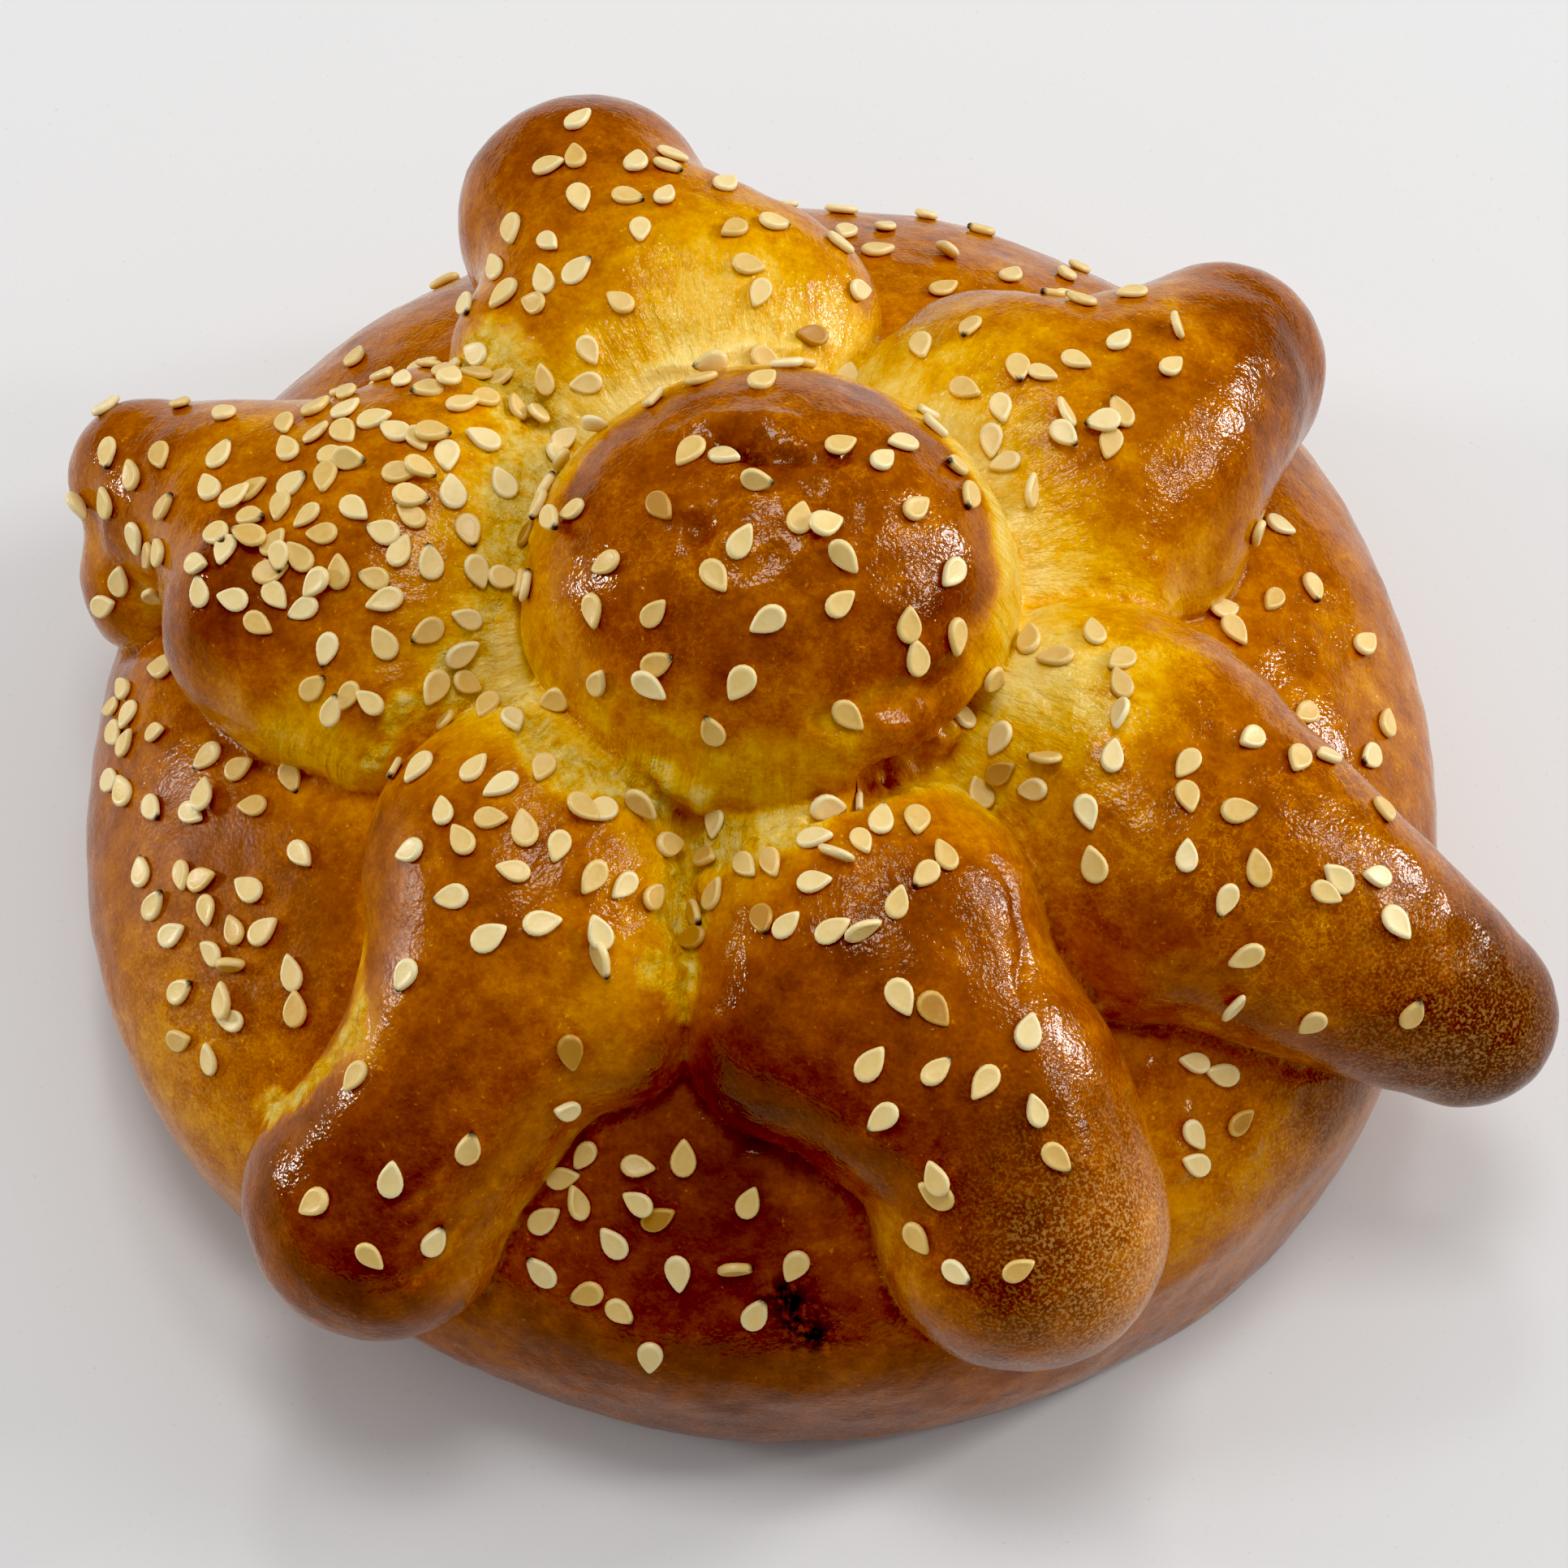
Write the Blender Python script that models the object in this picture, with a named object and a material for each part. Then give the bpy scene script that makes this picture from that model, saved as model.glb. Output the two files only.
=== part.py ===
"""A sesame butter bun of the kind baked with dough bones on top.

A round loaf carries three dough strips laid crosswise, whose six knobbed arms droop over its sides,
and a ball where they cross. All of it is baked into one piece and scattered with sesame seeds.
The origin is the middle of the flat underside. +Z is up, and the object's front is at -Y.
"""

import math
import random
from collections import namedtuple

import bmesh
import bpy
import numpy as np
from mathutils import Matrix, Vector
from mathutils.bvhtree import BVHTree

MM = 0.001

# Loaf: how far it reaches, and how far its foot stands out, for every 30 degrees of heading from +X, in mm
LOAF_REACH = (62.0, 62.5, 63.5, 62.5, 61.5, 62.0, 62.0, 63.0, 60.5, 61.5, 61.5, 63.0)
LOAF_FOOT = (56.0, 53.0, 51.0, 50.0, 50.0, 50.0, 51.0, 51.0, 49.0, 53.5, 59.0, 61.0)
LOAF_WIDEST_HEIGHT = 17 * MM
LOAF_CROWN_RISE = 30 * MM
LOAF_SEGMENTS = 96
LOAF_RINGS = 48
# The dough reaches this far below the table before its flat underside is cut
TRIM = 1 * MM

# Ball
BALL_CENTRE = Vector((1.0, -1.5, 52.0)) * MM
BALL_RADII = Vector((21.5, 21.0, 19.0)) * MM

# Baking: how finely the pieces are fused, and how far the oven softens their seams
STRIP_VOXEL = 1.2 * MM
FUSE_VOXEL = 1.2 * MM
STRIP_SMOOTHING = 10
SEAM_SMOOTHING = 3
BUN_TRIANGLES = 4700

# One station of a rope, or one knuckle on it, in mm: how far out along the arm's heading, how far to
# its left, and how high above the table the middle lies, then the half sizes.
Station = namedtuple("Station", "out side height half_width half_thickness")
Knuckle = namedtuple("Knuckle", "out side height half_length half_width half_thickness")
Arm = namedtuple("Arm", "heading rope knuckles")

ARMS = {
    "back": Arm(
        109,
        [
            Station(8, 0, 44, 13, 8),
            Station(20, -1, 44, 16, 9.5),
            Station(30, -2, 45, 19, 12),
            Station(37, -1, 44.5, 16, 12),
            Station(43, 0, 43.5, 12.5, 12),
            Station(48, 0.4, 42, 12, 12),
        ],
        [
            Knuckle(48, 0.4, 42, 12.3, 12.3, 12.3),
            Knuckle(30.5, -13, 43.5, 9, 9, 10),
            Knuckle(34, 9, 43, 9, 9, 10),
        ],
    ),
    "right_back": Arm(
        36,
        [
            Station(8, -2, 44, 14, 8),
            Station(19, -3, 44, 19, 9.5),
            Station(29, -1, 44, 19, 12.5),
            Station(38, -2, 42.5, 16, 12.5),
            Station(45, -1, 41, 13, 11.5),
            Station(52, 0.5, 38.5, 10.5, 10.5),
        ],
        [
            Knuckle(52.4, 1.0, 38, 10.4, 10.4, 10.4),
            Knuckle(35, -10, 40, 10, 9.5, 11),
            Knuckle(31, 11, 43, 9, 8, 9),
        ],
    ),
    "right": Arm(
        -26,
        [
            Station(8, -1, 44, 9, 8),
            Station(20, -1, 44.5, 10, 9.5),
            Station(30, 2, 44, 14.5, 12.5),
            Station(39, -1, 41.5, 17, 13),
            Station(47, -1, 39, 14.5, 13),
            Station(57, -1, 35.5, 11.5, 11.5),
            Station(67, 0, 30.5, 9, 9),
        ],
        [
            Knuckle(67.5, 0, 30, 9, 8.5, 8.5),
            Knuckle(39, -10, 40, 10, 8.5, 10.5),
        ],
    ),
    "front": Arm(
        -66,
        [
            Station(8, 0, 44, 12, 8),
            Station(20, -2.5, 44.5, 13.5, 9.5),
            Station(30, -3.5, 44, 16, 12.5),
            Station(39, -3, 41.5, 14.5, 12.5),
            Station(47, 0, 38, 12.5, 12.5),
            Station(55, -0.2, 32.6, 12.5, 12.5),
        ],
        [
            Knuckle(55, -0.3, 32.6, 12.8, 12.8, 12.8),
            Knuckle(35, -13.5, 42, 9.5, 8.5, 10.5),
        ],
    ),
    "left_front": Arm(
        -124,
        [
            Station(8, -2, 44, 12, 8),
            Station(19, -3.5, 44.5, 11.5, 9.5),
            Station(29, -3.2, 44.5, 14.5, 12.5),
            Station(38, 0.5, 42, 13, 12.5),
            Station(47, 1, 36.5, 11.2, 12),
            Station(56, -0.6, 29.5, 11.5, 11.5),
        ],
        [
            Knuckle(56.8, -0.6, 28.6, 12, 11.9, 12),
            Knuckle(28, -9.5, 43.5, 9.5, 8, 10),
            Knuckle(36, 9, 42, 9, 8.5, 10),
        ],
    ),
    "left": Arm(
        172,
        [
            Station(8, 0, 44, 12, 8),
            Station(20, -1.5, 44.5, 14, 9.5),
            Station(30, -3, 45, 19, 12),
            Station(40, -5, 42, 17, 11),
            Station(49, -10, 38, 11, 10),
            Station(57, -13, 34, 9, 9),
        ],
        [
            Knuckle(57.5, -14.5, 34, 8.5, 7.5, 9),
            Knuckle(57.5, -8, 28, 7, 8, 9),
            Knuckle(43, 3.5, 42, 9.5, 10, 11.5),
            Knuckle(37.5, 8, 42, 10, 9, 11),
            Knuckle(31, 11, 42.5, 9.5, 8, 10),
        ],
    ),
}

# Sesame: how many of the real bun's seeds are modelled, and one seed
SEED_SHARE = 0.34
SEED_DRAW = 7
SEED_LENGTH = 3.1 * MM
SEED_WIDTH = 2.1 * MM
SEED_RIM_HEIGHT = 0.25 * MM
SEED_CREST_HEIGHT = 0.6 * MM
SEED_ROOT_DEPTH = 1.6 * MM
SEED_SIDES = 7
SEED_SPACING = 3.6 * MM
SEED_UNEVENNESS = 0.3 * MM
# Patches are seen from inside the bun: the heading from +X and the rise above the horizontal of a
# patch's middle, and how far it spreads across and along, in degrees, then the real bun's seeds on it.
SEED_ORIGIN = Vector((0, 0, 10)) * MM
SEED_CAST = 120 * MM
Patch = namedtuple("Patch", "heading rise across along seeds")
SEED_PATCHES = [
    Patch(163, 30, 7, 8, 14),  # left end
    Patch(152, 48, 7, 7, 14),  # left upper
    Patch(168, 51, 7, 7, 18),  # left middle
    Patch(177, 45, 5, 4, 9),  # left tip
    Patch(-173, 52, 7, 6, 17),  # left low
    Patch(165, 64, 8, 5, 12),  # left root
    Patch(106, 45, 8, 4, 8),  # back knob
    Patch(113, 49, 8, 5, 8),  # back middle
    Patch(128, 52, 8, 8, 16),  # back left
    Patch(84, 56, 6, 8, 9),  # back right
    Patch(-90, 87, 9, 6, 10),  # ball crown
    Patch(-90, 75, 12, 5, 10),  # ball front
    Patch(-150, 72, 8, 6, 6),  # ball left
    Patch(-8, 76, 14, 5, 10),  # ball right
    Patch(110, 76, 10, 4, 7),  # ball back
    Patch(46, 60, 8, 6, 10),  # right back root
    Patch(31, 58, 6, 5, 7),  # right back middle
    Patch(40, 45, 8, 4, 6),  # right back far
    Patch(-30, 58, 8, 5, 14),  # right root
    Patch(-38, 47, 6, 6, 8),  # right middle
    Patch(-35, 33, 6, 6, 8),  # right far
    Patch(-21, 40, 4, 6, 4),  # right edge
    Patch(-78, 57, 8, 5, 17),  # front root
    Patch(-71, 39, 6, 6, 11),  # front far
    Patch(-74, 30, 4, 3, 3),  # front knob
    Patch(-143, 55, 8, 6, 12),  # left front root
    Patch(-122, 54, 9, 6, 15),  # left front middle
    Patch(-100, 55, 2, 6, 5),  # left front seam
    Patch(-120, 36, 8, 8, 6),  # left front far
    Patch(-120, 24, 5, 3, 3),  # left front knob
    Patch(66, 25, 14, 7, 14),  # loaf back
    Patch(4, 28, 13, 8, 13),  # loaf right
    Patch(178, 19, 7, 4, 10),  # loaf left edge
    Patch(-161, 26, 10, 7, 18),  # loaf left
    Patch(-150, 23, 7, 6, 9),  # loaf left low
    Patch(-99, 22, 10, 7, 18),  # loaf front
    Patch(-46, 22, 4, 5, 5),  # loaf right front
    Patch(140, 28, 8, 5, 5),  # loaf back left
    Patch(105, 15, 16, 8, 10),  # loaf behind
]

# Colours, linear
CRUST_COLOUR = (0.50, 0.20, 0.045)
SEED_COLOUR = (0.72, 0.58, 0.34)


def clear_scene():
    for obj in list(bpy.data.objects):
        bpy.data.objects.remove(obj)


def add_object(name, bm):
    """A new scene object that holds the bmesh."""
    mesh = bpy.data.meshes.new(name)
    bm.to_mesh(mesh)
    bm.free()
    obj = bpy.data.objects.new(name, mesh)
    bpy.context.scene.collection.objects.link(obj)
    return obj


def apply_modifiers(obj):
    """The object's mesh becomes what its modifiers make of it."""
    graph = bpy.context.evaluated_depsgraph_get()
    made = bpy.data.meshes.new_from_object(obj.evaluated_get(graph))
    obj.modifiers.clear()
    obj.data = made


def arm_point(heading, out, side, height):
    """A place on an arm, from its heading in degrees and distances in mm."""
    angle = math.radians(heading)
    along = Vector((math.cos(angle), math.sin(angle), 0))
    left = Vector((-along.y, along.x, 0))
    return (along * out + left * side + Vector((0, 0, height))) * MM


def through(points, steps):
    """Rows of numbers along a smooth curve through the given rows, by Catmull-Rom."""
    rows = np.array(points, float)
    padded = np.vstack([2 * rows[0] - rows[1], rows, 2 * rows[-1] - rows[-2]])
    made = []
    for before, start, end, after in zip(padded, padded[1:], padded[2:], padded[3:]):
        for t in np.linspace(0, 1, steps, endpoint=False):
            made.append(
                0.5
                * (
                    2 * start
                    + (end - before) * t
                    + (2 * before - 5 * start + 4 * end - after) * t**2
                    + (3 * start - before - 3 * end + after) * t**3
                )
            )
    made.append(rows[-1])
    return np.array(made)


def close_tube(bm, rings):
    """Skins a row of rings of vertices and closes both ends, facing out."""
    for ring, following in zip(rings, rings[1:]):
        for k in range(len(ring)):
            after = (k + 1) % len(ring)
            bm.faces.new((ring[k], ring[after], following[after], following[k]))
    bm.faces.new(reversed(rings[0]))
    bm.faces.new(rings[-1])
    bmesh.ops.recalc_face_normals(bm, faces=bm.faces)


def loaf_side(turn, reach, foot):
    """How far out and how high the loaf's skin is, by the angle from its crown down to its foot."""
    level = math.cos(turn)
    if level >= 0:
        return math.sin(turn) * reach, LOAF_WIDEST_HEIGHT + level * LOAF_CROWN_RISE
    # A little fuller than an ellipse: the side stays steep, then rolls under
    out = foot + (reach - foot) * math.sqrt(1 - abs(level) ** 2.3)
    return out, LOAF_WIDEST_HEIGHT + level * (LOAF_WIDEST_HEIGHT + TRIM)


def loaf():
    """A domed round of dough, not quite circular, whose sides roll in to a narrower foot."""
    turns = len(LOAF_REACH)
    steps = LOAF_SEGMENTS // turns
    closed = [(LOAF_REACH[k % turns], LOAF_FOOT[k % turns]) for k in range(-1, turns + 2)]
    outline = through(closed, steps)[steps : steps * (turns + 1)] * MM
    bm = bmesh.new()
    rings = []
    for step in range(1, LOAF_RINGS + 1):
        ring = []
        for k, (reach, foot) in enumerate(outline):
            out, height = loaf_side(math.pi * step / LOAF_RINGS, reach, foot)
            heading = 2 * math.pi * k / LOAF_SEGMENTS
            ring.append(bm.verts.new((out * math.cos(heading), out * math.sin(heading), height)))
        rings.append(ring)
    close_tube(bm, rings)
    return add_object("loaf", bm)


def lump(centre, radii, heading=0):
    """An ellipsoid of dough, its first radius along the heading."""
    bm = bmesh.new()
    place = Matrix.LocRotScale(centre, Matrix.Rotation(math.radians(heading), 3, "Z"), radii)
    bmesh.ops.create_icosphere(bm, subdivisions=4, radius=1, matrix=place)
    return add_object("lump", bm)


def rope(arm, sides=28, steps=6):
    """A closed tube with oval sections through an arm's stations."""
    spine = [
        (*arm_point(arm.heading, s.out, s.side, s.height), s.half_width * MM, s.half_thickness * MM)
        for s in arm.rope
    ]
    rows = through(spine, steps)
    tangents = np.gradient(rows[:, :3], axis=0)
    bm = bmesh.new()
    rings = []
    for row, tangent in zip(rows, tangents):
        along = Vector(tangent).normalized()
        across = along.cross(Vector((0, 0, 1))).normalized()
        up = across.cross(along)
        ring = []
        for k in range(sides):
            turn = 2 * math.pi * k / sides
            place = Vector(row[:3]) + across * math.cos(turn) * row[3] + up * math.sin(turn) * row[4]
            ring.append(bm.verts.new(place))
        rings.append(ring)
    close_tube(bm, rings)
    return add_object("rope", bm)


def fuse(name, pieces, voxel, smoothing):
    """Joins overlapping pieces into one skin, then softens it."""
    bm = bmesh.new()
    for piece in pieces:
        bm.from_mesh(piece.data)
        bpy.data.objects.remove(piece)
    fused = add_object(name, bm)
    remesh = fused.modifiers.new("Fuse", "REMESH")
    remesh.mode = "VOXEL"
    remesh.voxel_size = voxel
    soften = fused.modifiers.new("Soften", "SMOOTH")
    soften.iterations = smoothing
    apply_modifiers(fused)
    return fused


def arm_of_dough(name, arm):
    """One arm of a bone strip: its rope and the knuckles on it."""
    pieces = [rope(arm)]
    for k in arm.knuckles:
        centre = arm_point(arm.heading, k.out, k.side, k.height)
        radii = Vector((k.half_length, k.half_width, k.half_thickness)) * MM
        pieces.append(lump(centre, radii, arm.heading))
    return fuse(name, pieces, STRIP_VOXEL, STRIP_SMOOTHING)


def thin_out(obj, triangles):
    """Keeps about this many triangles, more of them where the skin bends."""
    faces = obj.modifiers.new("Triangles", "TRIANGULATE")
    faces.min_vertices = 4
    apply_modifiers(obj)
    decimate = obj.modifiers.new("Thin out", "DECIMATE")
    decimate.ratio = triangles / len(obj.data.polygons)
    apply_modifiers(obj)


def seat_on_table(obj):
    """Cuts the flat underside that the bun baked on."""
    bm = bmesh.new()
    bm.from_mesh(obj.data)
    everything = bm.verts[:] + bm.edges[:] + bm.faces[:]
    cut = bmesh.ops.bisect_plane(bm, geom=everything, plane_co=(0, 0, 0), plane_no=(0, 0, -1), clear_outer=True)
    rim = [item for item in cut["geom_cut"] if isinstance(item, bmesh.types.BMEdge)]
    bmesh.ops.contextual_create(bm, geom=rim)
    bmesh.ops.recalc_face_normals(bm, faces=bm.faces)
    bm.to_mesh(obj.data)
    bm.free()


def baked_bun():
    """The loaf, the arms and the ball as one skin with a flat underside."""
    pieces = [loaf(), lump(BALL_CENTRE, BALL_RADII)]
    for name, arm in ARMS.items():
        pieces.append(arm_of_dough(name, arm))
    bun = fuse("bun", pieces, FUSE_VOXEL, SEAM_SMOOTHING)
    thin_out(bun, BUN_TRIANGLES)
    seat_on_table(bun)
    return bun


def sesame_seed(place, size):
    """One teardrop seed, pointed towards +X, whose underside tapers into the crust."""
    bm = bmesh.new()
    rim, crest = [], []
    for k in range(SEED_SIDES):
        turn = 2 * math.pi * k / SEED_SIDES
        along = math.cos(turn)
        # A circle drawn out to a point at +X
        across = math.sin(turn) * (1 - 0.35 * max(along, 0))
        rim.append(bm.verts.new((along * SEED_LENGTH / 2, across * SEED_WIDTH / 2, SEED_RIM_HEIGHT)))
        crest.append(
            bm.verts.new((along * SEED_LENGTH / 2 * 0.6, across * SEED_WIDTH / 2 * 0.6, SEED_CREST_HEIGHT))
        )
    root = bm.verts.new((0, 0, -SEED_ROOT_DEPTH))
    for k in range(SEED_SIDES):
        after = (k + 1) % SEED_SIDES
        bm.faces.new((rim[k], rim[after], crest[after], crest[k]))
        bm.faces.new((rim[after], rim[k], root))
    bm.faces.new(crest)
    bmesh.ops.transform(bm, matrix=place @ Matrix.Scale(size, 4), verts=bm.verts)
    return add_object("seed", bm)


def direction(heading, rise):
    """The unit vector at these angles, in degrees, from +X and above the horizontal."""
    turn, lift = math.radians(heading), math.radians(rise)
    return Vector((math.cos(turn) * math.cos(lift), math.sin(turn) * math.cos(lift), math.sin(lift)))


def spot_on_crust(skin, patch, rng):
    """A random place in a patch, and the crust's normal there; None where it isn't even enough."""
    centre = direction(patch.heading, patch.rise)
    side = Vector((0, 0, 1)).cross(centre).normalized()
    up = centre.cross(side)
    turn, share = rng.uniform(0, 2 * math.pi), math.sqrt(rng.random())
    across = math.radians(patch.across) * share * math.cos(turn)
    along = math.radians(patch.along) * share * math.sin(turn)
    ray = (centre + side * across + up * along).normalized()
    place, normal, _, _ = skin.ray_cast(SEED_ORIGIN + ray * SEED_CAST, -ray)
    if place is None:
        return None
    flank = normal.orthogonal().normalized()
    for k in range(6):
        test = place + Matrix.Rotation(k * math.pi / 3, 3, normal) @ flank * SEED_LENGTH * 0.45
        nearest, _, _, _ = skin.find_nearest(test)
        if (nearest - test).length > SEED_UNEVENNESS:
            return None
    return place, normal


def scatter_seeds(bun):
    """Seeds laid flat on the crust, patch by patch, each clear of those already there."""
    bm = bmesh.new()
    bm.from_mesh(bun.data)
    skin = BVHTree.FromBMesh(bm)
    bm.free()
    rng = random.Random(SEED_DRAW)
    taken, seeds = [], []
    for patch in SEED_PATCHES:
        wanted = round(patch.seeds * SEED_SHARE)
        for _ in range(wanted * 40):
            if wanted == 0:
                break
            spot = spot_on_crust(skin, patch, rng)
            if spot is None or any((spot[0] - other).length < SEED_SPACING for other in taken):
                continue
            place, normal = spot
            turn = Matrix.Rotation(rng.uniform(0, 2 * math.pi), 4, "Z")
            upright = normal.to_track_quat("Z", "Y").to_matrix().to_4x4()
            seeds.append(sesame_seed(Matrix.Translation(place) @ upright @ turn, rng.uniform(0.92, 1.08)))
            taken.append(place)
            wanted -= 1
    return seeds


def bake_on(bun, seeds):
    """The seeds and the crust become one solid."""
    toppings = bpy.data.collections.new("Seeds")
    for seed in seeds:
        toppings.objects.link(seed)
    union = bun.modifiers.new("Bake on", "BOOLEAN")
    union.operation = "UNION"
    union.operand_type = "COLLECTION"
    union.collection = toppings
    union.material_mode = "TRANSFER"
    apply_modifiers(bun)
    for seed in seeds:
        bpy.data.objects.remove(seed)
    bpy.data.collections.remove(toppings)


def material(name, colour, roughness):
    """A plain surface of one colour."""
    made = bpy.data.materials.new(name)
    made.use_nodes = True
    shader = made.node_tree.nodes["Principled BSDF"]
    shader.inputs["Base Color"].default_value = (*colour, 1)
    shader.inputs["Roughness"].default_value = roughness
    shader.inputs["Metallic"].default_value = 0
    return made


def main():
    clear_scene()
    bun = baked_bun()
    bun.data.materials.append(material("Crust", CRUST_COLOUR, 0.35))
    seeds = scatter_seeds(bun)
    hull = material("Sesame", SEED_COLOUR, 0.55)
    for seed in seeds:
        seed.data.materials.append(hull)
    bake_on(bun, seeds)
    bun.data.shade_smooth()
    bun.data.set_sharp_from_angle(angle=math.radians(40))


main()
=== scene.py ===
"""Visual model of the sesame butter bun, in the same frame as its solid.

The crust is made again from the same loaf, arms and ball, but finely, with the relief, browning and
torn seams that baking gives it. The sesame seeds lie on it as a piece of their own.
"""

import math
import random
from collections import namedtuple

import bmesh
import bpy
import numpy as np
from mathutils import Matrix, Vector, noise
from mathutils.bvhtree import BVHTree


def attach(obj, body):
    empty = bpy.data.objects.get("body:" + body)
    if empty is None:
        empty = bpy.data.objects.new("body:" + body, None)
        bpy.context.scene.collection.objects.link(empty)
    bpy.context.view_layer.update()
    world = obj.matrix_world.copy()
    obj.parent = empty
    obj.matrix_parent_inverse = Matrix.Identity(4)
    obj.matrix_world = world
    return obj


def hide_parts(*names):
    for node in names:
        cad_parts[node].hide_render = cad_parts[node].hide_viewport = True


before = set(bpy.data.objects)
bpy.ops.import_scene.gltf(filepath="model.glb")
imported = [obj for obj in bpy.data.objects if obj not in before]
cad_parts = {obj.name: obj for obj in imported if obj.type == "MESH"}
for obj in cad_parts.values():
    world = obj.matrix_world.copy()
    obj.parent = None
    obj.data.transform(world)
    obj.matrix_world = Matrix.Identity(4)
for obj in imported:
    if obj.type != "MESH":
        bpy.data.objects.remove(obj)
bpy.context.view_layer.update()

MM = 0.001

# Loaf: how far it reaches, and how far its foot stands out, for every 30 degrees of heading from +X, in mm
LOAF_REACH = (62.0, 62.5, 63.5, 62.5, 61.5, 62.0, 62.0, 63.0, 60.5, 61.5, 61.5, 63.0)
LOAF_FOOT = (56.0, 53.0, 51.0, 50.0, 50.0, 50.0, 51.0, 51.0, 49.0, 53.5, 59.0, 61.0)
LOAF_WIDEST_HEIGHT = 17 * MM
LOAF_CROWN_RISE = 30 * MM
# How squarely the side turns in to the foot: 2 would be an oval
LOAF_SIDE_POWER = 2.3
LOAF_SEGMENTS = 192
LOAF_RINGS = 96
# How far the loaf reaches below the table, before its underside is made flat
LOAF_SINK = 1 * MM

BALL_CENTRE = Vector((1.0, -1.5, 52.0)) * MM
BALL_RADII = Vector((21.5, 21.0, 19.0)) * MM

# Voxels and rounds of softening, for each arm and then for the whole bun
ARM_VOXEL = 0.9 * MM
ARM_SMOOTHING = 16
FUSE_VOXEL = 0.5 * MM
FUSE_SMOOTHING = 3
# Gaps to two pieces of dough that differ less, in mm, are the same
SAME_GAP = 1e-4

# Arms: a rope of oval sections and the knuckles on it, in mm along the arm's heading, to its left and up
ROPE_SIDES = 40
ROPE_STEPS = 8
LUMP_SUBDIVISIONS = 5
Station = namedtuple("Station", "out side height half_width half_thickness")
Knuckle = namedtuple("Knuckle", "out side height half_length half_width half_thickness")
Arm = namedtuple("Arm", "heading rope knuckles")
ARMS = {
    "back": Arm(
        heading=109,
        rope=[
            (8, 0, 44, 13, 8), (20, -1, 44, 16, 9.5), (30, -2, 45, 19, 12), (37, -1, 44.5, 16, 12),
            (43, 0, 43.5, 12.5, 12), (48, 0.4, 42, 12, 12),
        ],
        knuckles=[(48, 0.4, 42, 12.3, 12.3, 12.3), (30.5, -13, 43.5, 9, 9, 10), (34, 9, 43, 9, 9, 10)],
    ),
    "right_back": Arm(
        heading=36,
        rope=[
            (8, -2, 44, 14, 8), (19, -3, 44, 19, 9.5), (29, -1, 44, 19, 12.5), (38, -2, 42.5, 16, 12.5),
            (45, -1, 41, 13, 11.5), (52, 0.5, 38.5, 10.5, 10.5),
        ],
        knuckles=[(52.4, 1.0, 38, 10.4, 10.4, 10.4), (35, -10, 40, 10, 9.5, 11), (31, 11, 43, 9, 8, 9)],
    ),
    "right": Arm(
        heading=-26,
        rope=[
            (8, -1, 44, 9, 8), (20, -1, 44.5, 10, 9.5), (30, 2, 44, 14.5, 12.5), (39, -1, 41.5, 17, 13),
            (47, -1, 39, 14.5, 13), (57, -1, 35.5, 11.5, 11.5), (67, 0, 30.5, 9, 9),
        ],
        knuckles=[(67.5, 0, 30, 9, 8.5, 8.5), (39, -10, 40, 10, 8.5, 10.5)],
    ),
    "front": Arm(
        heading=-66,
        rope=[
            (8, 0, 44, 12, 8), (20, -2.5, 44.5, 13.5, 9.5), (30, -3.5, 44, 16, 12.5),
            (39, -3, 41.5, 14.5, 12.5), (47, 0, 38, 12.5, 12.5), (55, -0.2, 32.6, 12.5, 12.5),
        ],
        knuckles=[(55, -0.3, 32.6, 12.8, 12.8, 12.8), (35, -13.5, 42, 9.5, 8.5, 10.5)],
    ),
    "left_front": Arm(
        heading=-124,
        rope=[
            (8, -2, 44, 12, 8), (19, -3.5, 44.5, 11.5, 9.5), (29, -3.2, 44.5, 14.5, 12.5),
            (38, 0.5, 42, 13, 12.5), (47, 1, 36.5, 11.2, 12), (56, -0.6, 29.5, 11.5, 11.5),
        ],
        knuckles=[(56.8, -0.6, 28.6, 12, 11.9, 12), (28, -9.5, 43.5, 9.5, 8, 10), (36, 9, 42, 9, 8.5, 10)],
    ),
    "left": Arm(
        heading=172,
        rope=[
            (8, 0, 44, 12, 8), (20, -1.5, 44.5, 14, 9.5), (30, -3, 45, 19, 12), (40, -5, 42, 17, 11),
            (49, -10, 38, 11, 10), (57, -13, 34, 9, 9),
        ],
        knuckles=[
            (57.5, -14.5, 34, 8.5, 7.5, 9), (57.5, -8, 28, 7, 8, 9), (43, 3.5, 42, 9.5, 10, 11.5),
            (37.5, 8, 42, 10, 9, 11), (31, 11, 42.5, 9.5, 8, 10),
        ],
    ),
}

# Smooth noise on the crust: how strong it is, how big its lumps are in mm, and the number it is drawn by
Layer = namedtuple("Layer", "amount size draw")
DRAW_SHIFT = (31.7, 12.3, 7.9)
LUMP_STRENGTH = 1.6
# How far the spots and lines below wander from their places, along x, y and z
WANDER = [[Layer(0.8, 4.5, 21 + axis), Layer(0.3, 1.6, 24 + axis)] for axis in range(3)]

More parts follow.
